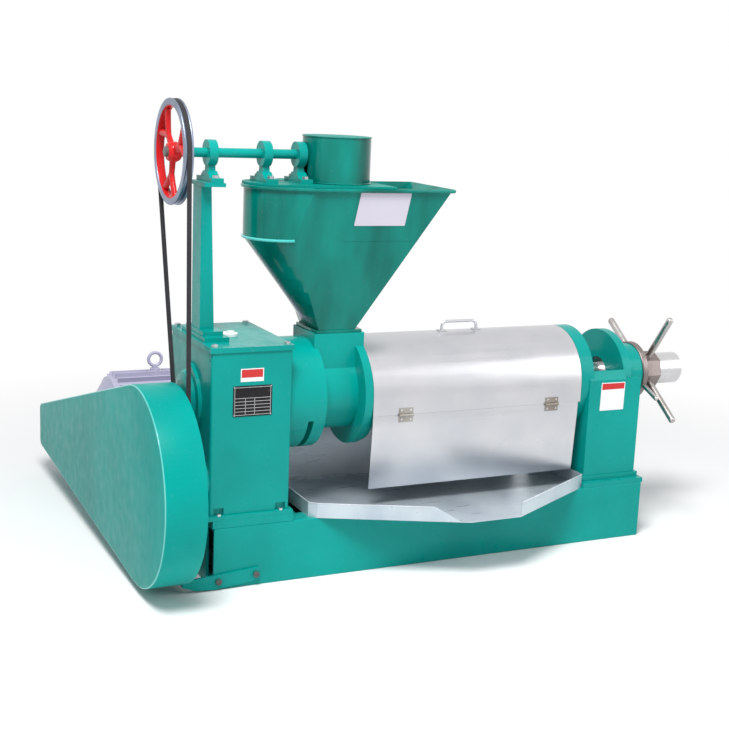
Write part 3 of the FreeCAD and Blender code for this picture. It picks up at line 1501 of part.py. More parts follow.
save("output_gear", [output_gear()])
save("drive_pulley", [drive_pulley()])
save("motor_pulley", [motor_pulley()])
save("drive_belts", drive_belts())
save("feed_belt", [feed_belt()])
save("feed_drive_pulley", [feed_drive_pulley()])
save("feed_pulley", [feed_pulley()])
save("feeder_shaft", [feeder_shaft()])
save("feeder_bearings", [pedestal(x, pedestal_seat) for x in (pedestal_post_x, pedestal_mid_x, pedestal_end_x)])
save("feeder_bearing_bolts", pedestal_bolts())
save("feeder_post", [post()])
save("hopper_shell", [hopper_shell()])
save("hopper_lid", [hopper_lid()])
save("auger_bush", [auger_bush()])
save("feeder_can", [feeder_can()])
save("feeder_can_lid", [can_lid()])
save("bevel_pinion", [bevel_pinion()])
save("bevel_gear", [bevel_gear()])
save("feed_auger", [feed_auger()])
save("feed_throat", [feed_throat()])
save("cage_lower_half", [cage_half(-1)])
save("cage_upper_half", [cage_half(1)])
save("cage_bolts", cage_bolts())
save("pressing_bars", barrel_bars())
save("worm_segments", worm_segments())
save("press_spindle", [press_spindle()])
save("cake_cone", [cake_cone()])
save("discharge_ring", [discharge_ring()])
save("column_stand", [column()])
save("adjusting_sleeve", [adjusting_sleeve()])
save("adjusting_nut", [adjusting_nut()])
save("nut_rods", nut_rods())
save("hood_shell", [hood_shell()])
save("hood_handle", [hood_handle()])
save("hood_hinges", hinge_knuckles(True) + hinge_pins())
save("hood_flap", [hood_flap()])
save("flap_hinge_leaves", hinge_knuckles(False))
save("oil_tray", [oil_tray()])
save("splash_plate", [splash_plate()])
save("belt_guard", [belt_guard()])
save("guard_supports", [guard_bracket()] + bracket_bolt_set() + guard_stays())
save("motor_frame", [motor_frame(), eye_bolt(), terminal_box()] + [stator()])
save("motor_end_covers", motor_shields() + [fan_cowl()])
save("motor_rotor", [motor_rotor(), motor_fan()])
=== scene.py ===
import math

import bmesh
import bpy
import numpy as np
from mathutils import Matrix, Vector


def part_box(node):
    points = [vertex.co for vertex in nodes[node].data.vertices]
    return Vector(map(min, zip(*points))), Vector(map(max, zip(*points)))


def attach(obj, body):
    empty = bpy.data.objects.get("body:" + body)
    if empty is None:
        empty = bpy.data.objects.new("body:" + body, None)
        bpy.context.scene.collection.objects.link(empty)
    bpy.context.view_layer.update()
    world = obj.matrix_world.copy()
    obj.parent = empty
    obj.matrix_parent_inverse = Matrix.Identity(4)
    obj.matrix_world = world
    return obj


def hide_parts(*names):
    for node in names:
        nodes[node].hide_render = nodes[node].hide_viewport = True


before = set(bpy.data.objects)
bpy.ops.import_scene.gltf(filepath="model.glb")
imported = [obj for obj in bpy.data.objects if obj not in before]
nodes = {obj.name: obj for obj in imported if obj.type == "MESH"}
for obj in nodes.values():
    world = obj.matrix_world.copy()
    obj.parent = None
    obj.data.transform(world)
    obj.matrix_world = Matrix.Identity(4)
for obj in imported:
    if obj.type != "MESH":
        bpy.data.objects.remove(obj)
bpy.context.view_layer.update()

# View
# The camera stands left of the machine and above it, where the straight edges of the
# gearbox, base and hopper meet their vanishing points.
camera_yaw = 0.471
camera_pitch = 0.213
camera_roll = -0.047
camera_place = (-2.1056, -3.9594, 1.5626)
sensor_width = 36.0
focal_pixels = 1335.139
image_side = 729
principal_x = 398.237
principal_y = 375.311
forward = np.array([math.sin(camera_yaw) * math.cos(camera_pitch),
                    math.cos(camera_yaw) * math.cos(camera_pitch), -math.sin(camera_pitch)])
level_right = np.array([math.cos(camera_yaw), -math.sin(camera_yaw), 0.0])
level_down = np.cross(forward, level_right)
right = math.cos(camera_roll) * level_right + math.sin(camera_roll) * level_down
down = math.cos(camera_roll) * level_down - math.sin(camera_roll) * level_right
camera_pose = np.eye(4)
camera_pose[:3] = np.column_stack([right, -down, -forward, camera_place])
camera = bpy.data.objects.new("camera", bpy.data.cameras.new("camera"))
bpy.context.scene.collection.objects.link(camera)
camera.matrix_world = Matrix(camera_pose.tolist())
camera.data.sensor_width = sensor_width
camera.data.lens = focal_pixels * sensor_width / image_side
camera.data.shift_x = 0.5 - principal_x / image_side
camera.data.shift_y = principal_y / image_side - 0.5
camera.data.clip_end = 60.0
bpy.context.scene.camera = camera

# Floor and light
# A matt white floor keeps the machine's soft shadow and passes into plain white further
# out. One soft box hangs above the left shoulder of the camera, a weaker one to the right.
floor_half = 14.0
floor_corners = [(-floor_half, -floor_half, 0), (floor_half, -floor_half, 0), (floor_half, floor_half, 0),
                 (-floor_half, floor_half, 0)]
floor_grey = (0.90, 0.90, 0.90, 1)
fade_start, fade_end = 1.3, 3.2
room_tint = (0.94, 0.97, 1.0, 1)
room_strength = 0.42


def combined(tree, operation, first, second):
    """Math node with the given operation on two sockets or constants; returns its value socket."""
    node = tree.nodes.new("ShaderNodeMath")
    node.operation = operation
    for value, socket in ((first, node.inputs[0]), (second, node.inputs[1])):
        if isinstance(value, (int, float)):
            socket.default_value = value
        else:
            tree.links.new(value, socket)
    return node.outputs[0]


floor_mesh = bpy.data.meshes.new("floor")
floor_mesh.from_pydata(floor_corners, [], [(0, 1, 2, 3)])
floor = bpy.data.objects.new("floor", floor_mesh)
bpy.context.scene.collection.objects.link(floor)
floor_paint = bpy.data.materials.new("floor_white")
floor_paint.use_nodes = True
floor_tree = floor_paint.node_tree
floor_matt = floor_tree.nodes["Principled BSDF"]
floor_matt.inputs["Base Color"].default_value = floor_grey
floor_matt.inputs["Roughness"].default_value = 0.9
floor_place = floor_tree.nodes.new("ShaderNodeTexCoord")
floor_reach = floor_tree.nodes.new("ShaderNodeVectorMath")
floor_reach.operation = "LENGTH"
floor_fade = floor_tree.nodes.new("ShaderNodeMapRange")
floor_fade.interpolation_type = "SMOOTHSTEP"
floor_fade.inputs["From Min"].default_value = fade_start
floor_fade.inputs["From Max"].default_value = fade_end
floor_ray = floor_tree.nodes.new("ShaderNodeLightPath")
floor_seen = combined(floor_tree, "MAXIMUM", floor_ray.outputs["Is Camera Ray"], floor_ray.outputs["Is Glossy Ray"])
floor_amount = combined(floor_tree, "MULTIPLY", floor_fade.outputs["Result"], floor_seen)
floor_white = floor_tree.nodes.new("ShaderNodeEmission")
floor_mix = floor_tree.nodes.new("ShaderNodeMixShader")
floor_tree.links.new(floor_place.outputs["Object"], floor_reach.inputs[0])
floor_tree.links.new(floor_reach.outputs["Value"], floor_fade.inputs["Value"])
floor_tree.links.new(floor_amount, floor_mix.inputs["Fac"])
floor_tree.links.new(floor_matt.outputs[0], floor_mix.inputs[1])
floor_tree.links.new(floor_white.outputs[0], floor_mix.inputs[2])
floor_tree.links.new(floor_mix.outputs[0], floor_tree.nodes["Material Output"].inputs["Surface"])
floor_mesh.materials.append(floor_paint)


def soft_box(name, place, aim, size, watts):
    """Square area lamp of the given side at place, turned so that it faces aim."""
    lamp = bpy.data.lights.new(name, "AREA")
    lamp.shape = "SQUARE"
    lamp.size = size
    lamp.energy = watts
    holder = bpy.data.objects.new(name, lamp)
    bpy.context.scene.collection.objects.link(holder)
    back = np.array(place, float) - np.array(aim, float)
    back = back / np.linalg.norm(back)
    side = np.cross([0.0, 0.0, 1.0], back)
    side = side / np.linalg.norm(side)
    pose = np.eye(4)
    pose[:3] = np.column_stack([side, np.cross(back, side), back, place])
    holder.matrix_world = Matrix(pose.tolist())


soft_box("key_lamp", place=(-1.9, -2.3, 5.2), aim=(0.0, 0.2, 0.5), size=1.8, watts=330.0)
soft_box("fill_lamp", place=(4.2, -3.0, 2.6), aim=(0.2, 0.0, 0.6), size=3.0, watts=70.0)
room = bpy.data.worlds.new("white_room")
bpy.context.scene.world = room
room.use_nodes = True
room_tree = room.node_tree
room_light = room_tree.nodes["Background"]
room_light.inputs["Color"].default_value = room_tint
room_light.inputs["Strength"].default_value = room_strength
seen_white = room_tree.nodes.new("ShaderNodeBackground")
seen_white.inputs["Color"].default_value = (1, 1, 1, 1)
seen_white.inputs["Strength"].default_value = 1.0
ray_kind = room_tree.nodes.new("ShaderNodeLightPath")
camera_or_gloss = combined(room_tree, "MAXIMUM", ray_kind.outputs["Is Camera Ray"],
                           ray_kind.outputs["Is Glossy Ray"])
any_seen = combined(room_tree, "MAXIMUM", camera_or_gloss, ray_kind.outputs["Is Transmission Ray"])
room_mix = room_tree.nodes.new("ShaderNodeMixShader")
room_tree.links.new(any_seen, room_mix.inputs["Fac"])
room_tree.links.new(room_light.outputs[0], room_mix.inputs[1])
room_tree.links.new(seen_white.outputs[0], room_mix.inputs[2])
room_tree.links.new(room_mix.outputs[0], room_tree.nodes["World Output"].inputs["Surface"])
bpy.context.scene.view_settings.view_transform = "Standard"

# Base frame
# Two rolled 200 mm channels stand on edge with their webs outwards. They are joined by
# cross members, carry plates under the gearbox and the column, and are sprayed teal.
teal_deep = (0.000, 0.262, 0.232, 1)
teal_bright = (0.000, 0.340, 0.300, 1)
rail_half_length = 0.810
rail_height = 0.200
rail_outside = 0.213
rail_flange = 0.075
rail_web = 0.009
rail_lip = 0.011
rail_edge_round = 0.0012
patch_scale = 3.0
speck_scale = 90.0
gloss_scale = 24.0
peel_scale = 240.0
wave_scale = 22.0
dust_grey = (0.42, 0.47, 0.45, 1)
merge_distance = 2e-6
smooth_limit = math.radians(35)


def new_group(name, inputs, outputs):
    """Empty shader group with sockets given as pairs of name and kind."""
    group = bpy.data.node_groups.new(name, "ShaderNodeTree")
    for socket_name, kind in inputs:
        group.interface.new_socket(socket_name, in_out="INPUT", socket_type=kind)
    for socket_name, kind in outputs:
        group.interface.new_socket(socket_name, in_out="OUTPUT", socket_type=kind)
    return group, group.nodes.new("NodeGroupInput"), group.nodes.new("NodeGroupOutput")


def noise(tree, scale, detail, source):
    """Noise texture of the given scale that reads the source vector; returns its value socket."""
    texture = tree.nodes.new("ShaderNodeTexNoise")
    texture.inputs["Scale"].default_value = scale
    texture.inputs["Detail"].default_value = detail
    tree.links.new(source, texture.inputs["Vector"])
    return texture.outputs["Fac"]


def spread(tree, value, low, high, to_low, to_high):
    """Map Range node that carries value from one span to another; constants or sockets."""
    node = tree.nodes.new("ShaderNodeMapRange")
    node.inputs["From Min"].default_value = low
    node.inputs["From Max"].default_value = high
    for target, socket in ((to_low, node.inputs["To Min"]), (to_high, node.inputs["To Max"])):
        if isinstance(target, (int, float)):
            socket.default_value = target
        else:
            tree.links.new(target, socket)
    tree.links.new(value, node.inputs["Value"])
    return node.outputs["Result"]


def blended(tree, fac, first, second):
    """Colour mix of two sockets or constant colours by a factor socket."""
    node = tree.nodes.new("ShaderNodeMix")
    node.data_type = "RGBA"
    tree.links.new(fac, node.inputs["Factor"])
    for value, socket in ((first, node.inputs[6]), (second, node.inputs[7])):
        if isinstance(value, tuple):
            socket.default_value = value
        else:
            tree.links.new(value, socket)
    return node.outputs[2]


paint_group, paint_in, paint_out = new_group(
    "sprayed_paint",
    [("Thin", "NodeSocketColor"), ("Thick", "NodeSocketColor"), ("Place", "NodeSocketVector"),
     ("Gloss low", "NodeSocketFloat"), ("Gloss high", "NodeSocketFloat"), ("Peel", "NodeSocketFloat")],
    [("Color", "NodeSocketColor"), ("Roughness", "NodeSocketFloat"), ("Height", "NodeSocketFloat")])
coat_depth = spread(paint_group, noise(paint_group, patch_scale, 3.0, paint_in.outputs["Place"]), 0.3, 0.7, 0.0, 1.0)
coat_colour = blended(paint_group, coat_depth, paint_in.outputs["Thin"], paint_in.outputs["Thick"])
specks = spread(paint_group, noise(paint_group, speck_scale, 5.0, paint_in.outputs["Place"]), 0.64, 0.80, 0.0, 0.10)
dusty = blended(paint_group, specks, coat_colour, dust_grey)
paint_group.links.new(dusty, paint_out.inputs["Color"])
paint_group.links.new(
    spread(paint_group, noise(paint_group, gloss_scale, 5.0, paint_in.outputs["Place"]), 0.3, 0.7,
           paint_in.outputs["Gloss low"], paint_in.outputs["Gloss high"]), paint_out.inputs["Roughness"])
peel = combined(paint_group, "MULTIPLY", noise(paint_group, peel_scale, 2.0, paint_in.outputs["Place"]),
                paint_in.outputs["Peel"])
waves = noise(paint_group, wave_scale, 2.0, paint_in.outputs["Place"])
paint_group.links.new(combined(paint_group, "ADD", peel, waves), paint_out.inputs["Height"])


def skinned(name, group, settings, bump_strength, lift, runs=(1, 1, 1)):
    """Material whose colour, roughness and bump come from a shader group on Object coordinates.
    Settings are the group's constant inputs, lift is the bump's height, and runs scales the
    pattern along each axis. Returns the material and its surface node."""
    material = bpy.data.materials.new(name)
    material.use_nodes = True
    tree = material.node_tree
    surface = tree.nodes["Principled BSDF"]
    place = tree.nodes.new("ShaderNodeTexCoord")
    scaled = tree.nodes.new("ShaderNodeVectorMath")
    scaled.operation = "MULTIPLY"
    scaled.inputs[1].default_value = runs
    skin = tree.nodes.new("ShaderNodeGroup")
    skin.node_tree = group
    for socket_name, value in settings.items():
        skin.inputs[socket_name].default_value = value
    bump = tree.nodes.new("ShaderNodeBump")
    bump.inputs["Strength"].default_value = bump_strength
    bump.inputs["Distance"].default_value = lift
    tree.links.new(place.outputs["Object"], scaled.inputs[0])
    tree.links.new(scaled.outputs[0], skin.inputs["Place"])
    tree.links.new(skin.outputs["Color"], surface.inputs["Base Color"])
    tree.links.new(skin.outputs["Roughness"], surface.inputs["Roughness"])
    tree.links.new(skin.outputs["Height"], bump.inputs["Height"])
    tree.links.new(bump.outputs["Normal"], surface.inputs["Normal"])
    return material, surface


def enamel(name, thin, thick, gloss_low, gloss_high, peel=0.12, coat=0.25, lift=0.0010, runs=(1, 1, 1)):
    """Painted material under a thin clear coat, with a faint orange peel."""
    settings = {"Thin": thin, "Thick": thick, "Gloss low": gloss_low, "Gloss high": gloss_high, "Peel": peel}
    material, surface = skinned(name, paint_group, settings, 0.3, lift, runs)
    surface.inputs["Specular IOR Level"].default_value = 0.10
    surface.inputs["Coat Weight"].default_value = coat
    surface.inputs["Coat Roughness"].default_value = 0.06
    surface.inputs["Coat IOR"].default_value = 1.36
    return material


def dress(material, *names):
    """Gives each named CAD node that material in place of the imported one."""
    for name in names:
        mesh = nodes[name].data
        mesh.materials.clear()
        mesh.materials.append(material)


def eased(corners, radius, steps=5):
    """Closed outline with rounded corners: each corner gives way to a parabola that leaves its
    two sides at radius from it, and never past nearly half a side."""
    corners = np.asarray(corners, float)
    before = np.roll(corners, 1, axis=0) - corners
    after = np.roll(corners, -1, axis=0) - corners
    span_before = np.linalg.norm(before, axis=1, keepdims=True)
    span_after = np.linalg.norm(after, axis=1, keepdims=True)
    reach = np.broadcast_to(np.asarray(radius, float), (len(corners),))[:, None]
    reach = np.minimum(reach, 0.48 * np.minimum(span_before, span_after))
    first = corners + before / span_before * reach
    last = corners + after / span_after * reach
    step = np.linspace(0, 1, steps)[None, :, None]
    curve = (1 - step) ** 2 * first[:, None] + 2 * step * (1 - step) * corners[:, None] + step ** 2 * last[:, None]
    return curve.reshape(-1, corners.shape[1])


def ringed(name, rings, wrap=False):
    """Mesh through an array of rings, stations by points by three. Each ring is a closed loop;
    wrap joins the last ring to the first, or else one face closes each end."""
    stations, count = rings.shape[:2]
    row = np.arange(stations if wrap else stations - 1)[:, None]
    col = np.arange(count)[None, :]
    beyond = (row + 1) % stations
    after = (col + 1) % count
    quads = np.stack([row * count + col, row * count + after, beyond * count + after, beyond * count + col], axis=-1)
    faces = quads.reshape(-1, 4).tolist()
    if not wrap:
        faces.append(list(range(count)))
        faces.append(list(range((stations - 1) * count, stations * count)))
    mesh = bpy.data.meshes.new(name)
    mesh.from_pydata(rings.reshape(-1, 3).tolist(), [], faces)
    whole = bmesh.new()
    whole.from_mesh(mesh)
    bmesh.ops.remove_doubles(whole, verts=whole.verts, dist=merge_distance)
    bmesh.ops.recalc_face_normals(whole, faces=whole.faces)
    whole.to_mesh(mesh)
    whole.free()
    mesh.polygons.foreach_set("use_smooth", np.ones(len(mesh.polygons), bool))
    mesh.set_sharp_from_angle(angle=smooth_limit)
    piece = bpy.data.objects.new(name, mesh)
    bpy.context.scene.collection.objects.link(piece)
    return piece


def fitted(piece, material, body, slot, *replaced):
    """Finishes a piece: its material, the body it rides on and what it stands for. The slot is not used."""
    piece.data.materials.append(material)
    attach(piece, body)
    if replaced:
        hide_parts(*replaced)
    return piece


def softened(piece, width):
    """Bevel modifier that rounds the piece's sharp edges by width."""
    bevel = piece.modifiers.new("rounded_edges", "BEVEL")
    bevel.width = width
    bevel.segments = 2
    bevel.limit_method = "ANGLE"
    bevel.angle_limit = math.radians(40)
    bevel.harden_normals = True
    return piece


def at_x(outline, x):
    """Outline in y and z, set at place x."""
    outline = np.asarray(outline, float)
    return np.column_stack([np.full(len(outline), x), outline])


def drawn_x(name, outline, x0, x1):
    """Bar along X: an outline in y and z carried straight from x0 to x1."""
    return ringed(name, np.stack([at_x(outline, x0), at_x(outline, x1)]))


teal_enamel = enamel("teal_enamel", teal_bright, teal_deep, 0.24, 0.38)
dress(teal_enamel, "base_cross_members", "gearbox_plinth", "column_pad", "motor_slide_rails")
heel_round, toe_round, root_round = 0.004, 0.005, 0.009
channel_rounds = (heel_round, toe_round, toe_round, root_round, root_round, toe_round, toe_round, heel_round)
for side, rail_name in ((-1, "base_rail_front"), (1, "base_rail_rear")):
    web_face = side * rail_outside
    toe = side * (rail_outside - rail_flange)
    web_inside = side * (rail_outside - rail_web)
    channel = eased([(web_face, 0.0), (toe, 0.0), (toe, rail_lip), (web_inside, rail_lip),
                     (web_inside, rail_height - rail_lip), (toe, rail_height - rail_lip), (toe, rail_height),
                     (web_face, rail_height)], channel_rounds)
    rail = drawn_x(rail_name + "_rolled", channel, -rail_half_length, rail_half_length)
    fitted(softened(rail, rail_edge_round), teal_enamel, "frame", "enamel_teal", rail_name)

# Weld beads
# Hand-laid fillet welds hold the plates and pads to the channels. Each is a rippled cord
# of metal along the joint, sprayed with the rest.
weld_radius = 0.0035
weld_ripple = 0.0045
weld_swell = 0.35
weld_step = 0.0015
weld_offset = 0.001


def piping(name, path, radius, across, closed=False, sides=10, ripple=0.0):
    """Round bead along a path that lies in a plane with normal across. Ring k is the path point
    plus radius times cosine along the in-plane normal and sine along across. The radius swells by
    the share ripple once in every weld ripple."""
    path = np.asarray(path, float)
    across = np.asarray(across, float) / np.linalg.norm(across)
    if closed:
        tangent = np.roll(path, -1, axis=0) - np.roll(path, 1, axis=0)
    else:
        tangent = np.gradient(path, axis=0)
    tangent = tangent / np.linalg.norm(tangent, axis=1, keepdims=True)
    normal = np.cross(across, tangent)
    normal = normal / np.linalg.norm(normal, axis=1, keepdims=True)
    angle = np.linspace(0, 2 * np.pi, sides, endpoint=False)[None, :, None]
    run = np.concatenate([[0], np.cumsum(np.linalg.norm(np.diff(path, axis=0), axis=1))])
    swell = 1 + ripple * np.abs(np.sin(np.pi * run / weld_ripple))
    thick = (np.broadcast_to(np.asarray(radius, float), (len(path),)) * swell)[:, None, None]
    rings = path[:, None] + thick * (np.cos(angle) * normal[:, None] + np.sin(angle) * across)
    return ringed(name, rings, wrap=closed)


def weld(name, x, y0, y1):
    """Rippled bead along Y on the channels' top at x."""
    count = max(8, int((y1 - y0) / weld_step))
    path = np.column_stack([np.full(count, x), np.linspace(y0, y1, count), np.full(count, rail_height)])
    fitted(piping(name, path, weld_radius, (0, 0, 1), sides=6, ripple=weld_swell), teal_enamel, "frame", "enamel_teal")


weld("weld_plinth_right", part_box("gearbox_plinth")[1].x + weld_offset, -0.200, 0.200)
weld("weld_pad_left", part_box("column_pad")[0].x - weld_offset, -0.205, -0.140)

# Strap bolts
# Two steel bolts hold the guard's flat bar to the front channel.
strap_bolt_y = -0.221
strap_bolts = ((-0.796, 0.029), (-0.672, 0.039))
strap_bolt_radius = 0.0112
strap_bolt_height = 0.0083
head_profile = ((0.0, 0.96), (0.08, 1.0), (0.82, 1.0), (1.0, 0.88))


def hex_head(name, spot, out, radius, height, material):
    """Six-sided bolt head on a spot of the frame, facing out. The profile gives the share of the
    radius at each share of the height, so its edges are chamfered."""
    spot, out = np.array(spot, float), np.array(out, float)
    side = np.array([0.0, 0.0, 1.0]) if abs(out[2]) < 0.5 else np.array([1.0, 0.0, 0.0])
    other = np.cross(out, side)
    angle = np.radians(60 * np.arange(6))[:, None]
    spokes = np.cos(angle) * side + np.sin(angle) * other
    rings = np.stack([spot + rise * height * out + share * radius * spokes for rise, share in head_profile])
    fitted(ringed(name, rings), material, "frame", "zinc_bolt")


dark_steel = enamel("dark_steel", (0.16, 0.15, 0.16, 1), (0.085, 0.07, 0.065, 1), 0.30, 0.45)
for k, (x, z) in enumerate(strap_bolts):
    hex_head(f"strap_bolt_{k}", (x, strap_bolt_y, z), (0, -1, 0), strap_bolt_radius, strap_bolt_height, dark_steel)

# Gearbox
# A grey-iron box casting with a flanged foot, a flat lid and round bearing caps on its
# left side, under the same enamel. Zinc-plated hex bolts hold it.
sand_enamel = enamel("cast_enamel", teal_bright, teal_deep, 0.26, 0.42, peel=0.35, lift=0.0016)
dress(sand_enamel, "gearbox_housing", "gearbox_lid", "spindle_bearing_cap", "shaft_bearing_caps")
white_plastic = enamel("white_plastic", (0.80, 0.81, 0.81, 1), (0.76, 0.77, 0.77, 1), 0.3, 0.4)
dress(white_plastic, "oil_filler_cap")

# Blank plates
# A black anodised plate with a pale frame and empty ruled fields is riveted to the
# gearbox. A small paper seal stands above it. Neither carries any words.
plate_x0, plate_x1, plate_z0, plate_z1 = -0.7535, -0.6265, 0.550, 0.6465
gearbox_front = -0.202
plate_face = gearbox_front - 0.0012
plate_rivet_inset = 0.004
plate_rivet_radius = 0.0022
frame_inset = 0.005
rule = 0.0007
row_count = 6
row_step = 0.0105
head_band = 0.034
seal_paper_area = (-0.730, -0.655, 0.659, 0.700)
seal_band_area = (-0.727, -0.658, 0.672, 0.697)
field_left, field_right = plate_x0 + frame_inset, plate_x1 - frame_inset
field_foot, field_head = plate_z0 + frame_inset, plate_z1 - frame_inset
plate_black = enamel("plate_black", (0.018, 0.016, 0.018, 1), (0.012, 0.011, 0.012, 1), 0.25, 0.35, peel=0.02)
plate_line = enamel("plate_line", (0.55, 0.56, 0.57, 1), (0.45, 0.46, 0.47, 1), 0.3, 0.4, peel=0.02)
paper_white = enamel("paper_white", (0.82, 0.83, 0.84, 1), (0.78, 0.79, 0.80, 1), 0.55, 0.7, peel=0.02, coat=0.0)
paper_red = enamel("paper_red", (0.62, 0.05, 0.05, 1), (0.55, 0.04, 0.04, 1), 0.5, 0.6, peel=0.02, coat=0.0)


def slab(name, corners, outward, thick, radius=0.0):
    """Flat plate: four corners in order, eased by radius, carried along outward by thick."""
    outline = eased(corners, radius) if radius else np.asarray(corners, float)
    step = np.asarray(outward, float) * thick
    return ringed(name, np.stack([outline, outline + step]))


def plate_area(x0, x1, z0, z1, y):
    """Corners of an upright rectangle in x and z at place y."""
    return [(x0, y, z0), (x1, y, z0), (x1, y, z1), (x0, y, z1)]


fitted(slab("maker_plate_blank", plate_area(plate_x0, plate_x1, plate_z0, plate_z1, gearbox_front - 0.0002),
            (0, -1, 0), 0.0010, 0.003), plate_black, "frame", "enamel_teal")
ruled = []
for x, drop in ((field_left, 0.0), (field_right, 0.0), (plate_x0 + 0.070, head_band), (plate_x0 + 0.040, head_band)):
    ruled.append((x - rule, x + rule, field_foot, field_head - drop))
for z in [field_foot + row_step * k for k in range(row_count)] + [field_head]:
    ruled.append((field_left, field_right, z - rule, z + rule))
for k, (x0, x1, z0, z1) in enumerate(ruled):
    fitted(slab(f"plate_rule_{k}", plate_area(x0, x1, z0, z1, plate_face), (0, -1, 0), 0.0002),
           plate_line, "frame", "enamel_teal")
fitted(slab("seal_paper", plate_area(*seal_paper_area, gearbox_front - 0.0001), (0, -1, 0), 0.0003, 0.001),
       paper_white, "frame", "enamel_teal")
fitted(slab("seal_band", plate_area(*seal_band_area, gearbox_front - 0.0004), (0, -1, 0), 0.0002),
       paper_red, "frame", "enamel_teal")


def turned(name, profile, centre, axis="x", steps=64):
    """Round piece: a closed profile of place along the axis and radius, turned about the line
    through centre. Station k stands at k over steps of a whole turn."""
    profile = np.asarray(profile, float)
    angle = np.linspace(0, 2 * np.pi, steps, endpoint=False)[:, None]
    along = np.broadcast_to(profile[:, 0], (steps, len(profile)))
    first = profile[:, 1] * np.cos(angle)
    second = profile[:, 1] * np.sin(angle)
    if axis == "x":
        rings = np.stack([along, centre[1] + first, centre[2] + second], axis=-1)
    elif axis == "y":
        rings = np.stack([centre[0] + first, along, centre[2] + second], axis=-1)
    else:
        rings = np.stack([centre[0] + first, centre[1] + second, along], axis=-1)
    return ringed(name, rings, wrap=True)


plate_dome = [(plate_face, 0), (plate_face, plate_rivet_radius), (plate_face - 0.0009, plate_rivet_radius * 0.8),
              (plate_face - 0.0013, plate_rivet_radius * 0.4), (plate_face - 0.0014, 0)]
rivet_left, rivet_right = plate_x0 + plate_rivet_inset, plate_x1 - plate_rivet_inset
rivet_foot, rivet_head = plate_z0 + plate_rivet_inset, plate_z1 - plate_rivet_inset
for k, (x, z) in enumerate(((rivet_left, rivet_foot), (rivet_right, rivet_foot), (rivet_right, rivet_head),
                            (rivet_left, rivet_head))):
    fitted(turned(f"plate_rivet_{k}", plate_dome, (x, 0, z), "y", 12), plate_line, "frame", "zinc_bolt")

# Shafts, gears and bolts
# Turned steel shafts, cut gears and bearings fill the gearbox, and zinc-plated bolts hold
# it. Bare metal shows a fine tool grain, slow stains of oil and a gloss that varies.
stain_scale = 7.0
metal_group, metal_in, metal_out = new_group(
    "metal_skin",
    [("Clean", "NodeSocketColor"), ("Stained", "NodeSocketColor"), ("Place", "NodeSocketVector"),
     ("Grain", "NodeSocketVector"), ("Gloss low", "NodeSocketFloat"), ("Gloss high", "NodeSocketFloat")],
    [("Color", "NodeSocketColor"), ("Roughness", "NodeSocketFloat"), ("Height", "NodeSocketFloat")])
stretched = metal_group.nodes.new("ShaderNodeVectorMath")
stretched.operation = "MULTIPLY"
metal_group.links.new(metal_in.outputs["Place"], stretched.inputs[0])
metal_group.links.new(metal_in.outputs["Grain"], stretched.inputs[1])
grain = noise(metal_group, 1.0, 6.0, stretched.outputs[0])
stain_mask = spread(metal_group, noise(metal_group, stain_scale, 4.0, metal_in.outputs["Place"]), 0.38, 0.68, 0.0, 1.0)
metal_colour = blended(metal_group, stain_mask, metal_in.outputs["Clean"], metal_in.outputs["Stained"])
metal_group.links.new(metal_colour, metal_out.inputs["Color"])
metal_group.links.new(spread(metal_group, grain, 0.3, 0.7, metal_in.outputs["Gloss low"],
                             metal_in.outputs["Gloss high"]), metal_out.inputs["Roughness"])
metal_group.links.new(grain, metal_out.inputs["Height"])


def bare_metal(name, clean, stained, grain_scale, gloss_low, gloss_high, metallic=1.0, lift=0.0004):
    """Metal material whose grain runs along the axis with the small grain scale."""
    settings = {"Clean": clean, "Stained": stained, "Grain": grain_scale, "Gloss low": gloss_low,
                "Gloss high": gloss_high}
    material, surface = skinned(name, metal_group, settings, 0.25, lift)
    surface.inputs["Metallic"].default_value = metallic
    return material


zinc_bolt = bare_metal("zinc_plate", (0.62, 0.64, 0.66, 1), (0.46, 0.48, 0.50, 1), (90, 90, 90), 0.28, 0.45)
turned_steel = bare_metal("turned_steel", (0.62, 0.62, 0.63, 1), (0.48, 0.47, 0.46, 1), (900, 20, 20), 0.22, 0.38)
gear_steel = bare_metal("gear_steel", (0.38, 0.38, 0.39, 1), (0.24, 0.23, 0.22, 1), (200, 40, 40), 0.30, 0.45)
dress(zinc_bolt, "gearbox_bolts", "feeder_bearing_bolts", "cage_bolts")
dress(turned_steel, "input_shaft", "countershaft", "feed_auger", "worm_segments", "press_spindle", "cake_cone",
      "motor_rotor", "gearbox_bearings", "pressing_bars")
dress(gear_steel, "counter_gear", "output_gear", "bevel_pinion", "bevel_gear")

# Pulleys and belts
# Grooved iron pulleys, machined all over, run black V-belts whose cloth cover has a fine
# diagonal weave.
pulley_iron = bare_metal("pulley_iron", (0.30, 0.35, 0.46, 1), (0.20, 0.23, 0.30, 1), (700, 20, 20), 0.30, 0.45)
dress(pulley_iron, "drive_pulley", "motor_pulley", "feed_drive_pulley")
belt_cloth = enamel("belt_cloth", (0.045, 0.045, 0.05, 1), (0.022, 0.022, 0.025, 1), 0.6, 0.8, peel=0.9, coat=0.0)
dress(belt_cloth, "drive_belts", "feed_belt")

# Belt guard
# Two millimetre sheet: a teardrop side plate with a rim folded round it. The outer edge is
# dressed round, and the open side towards the gearbox has a narrow stiffening lip.
dress(teal_enamel, "guard_supports")
guard_centre = np.array([-0.143, 0.339])
guard_radius = 0.311
guard_tail = np.array([[1.237, 0.112], [1.237, 0.275]])
guard_tail_round = 0.028
guard_outside = -1.040
seam_inset = 0.0027
seam_radius = 0.0026


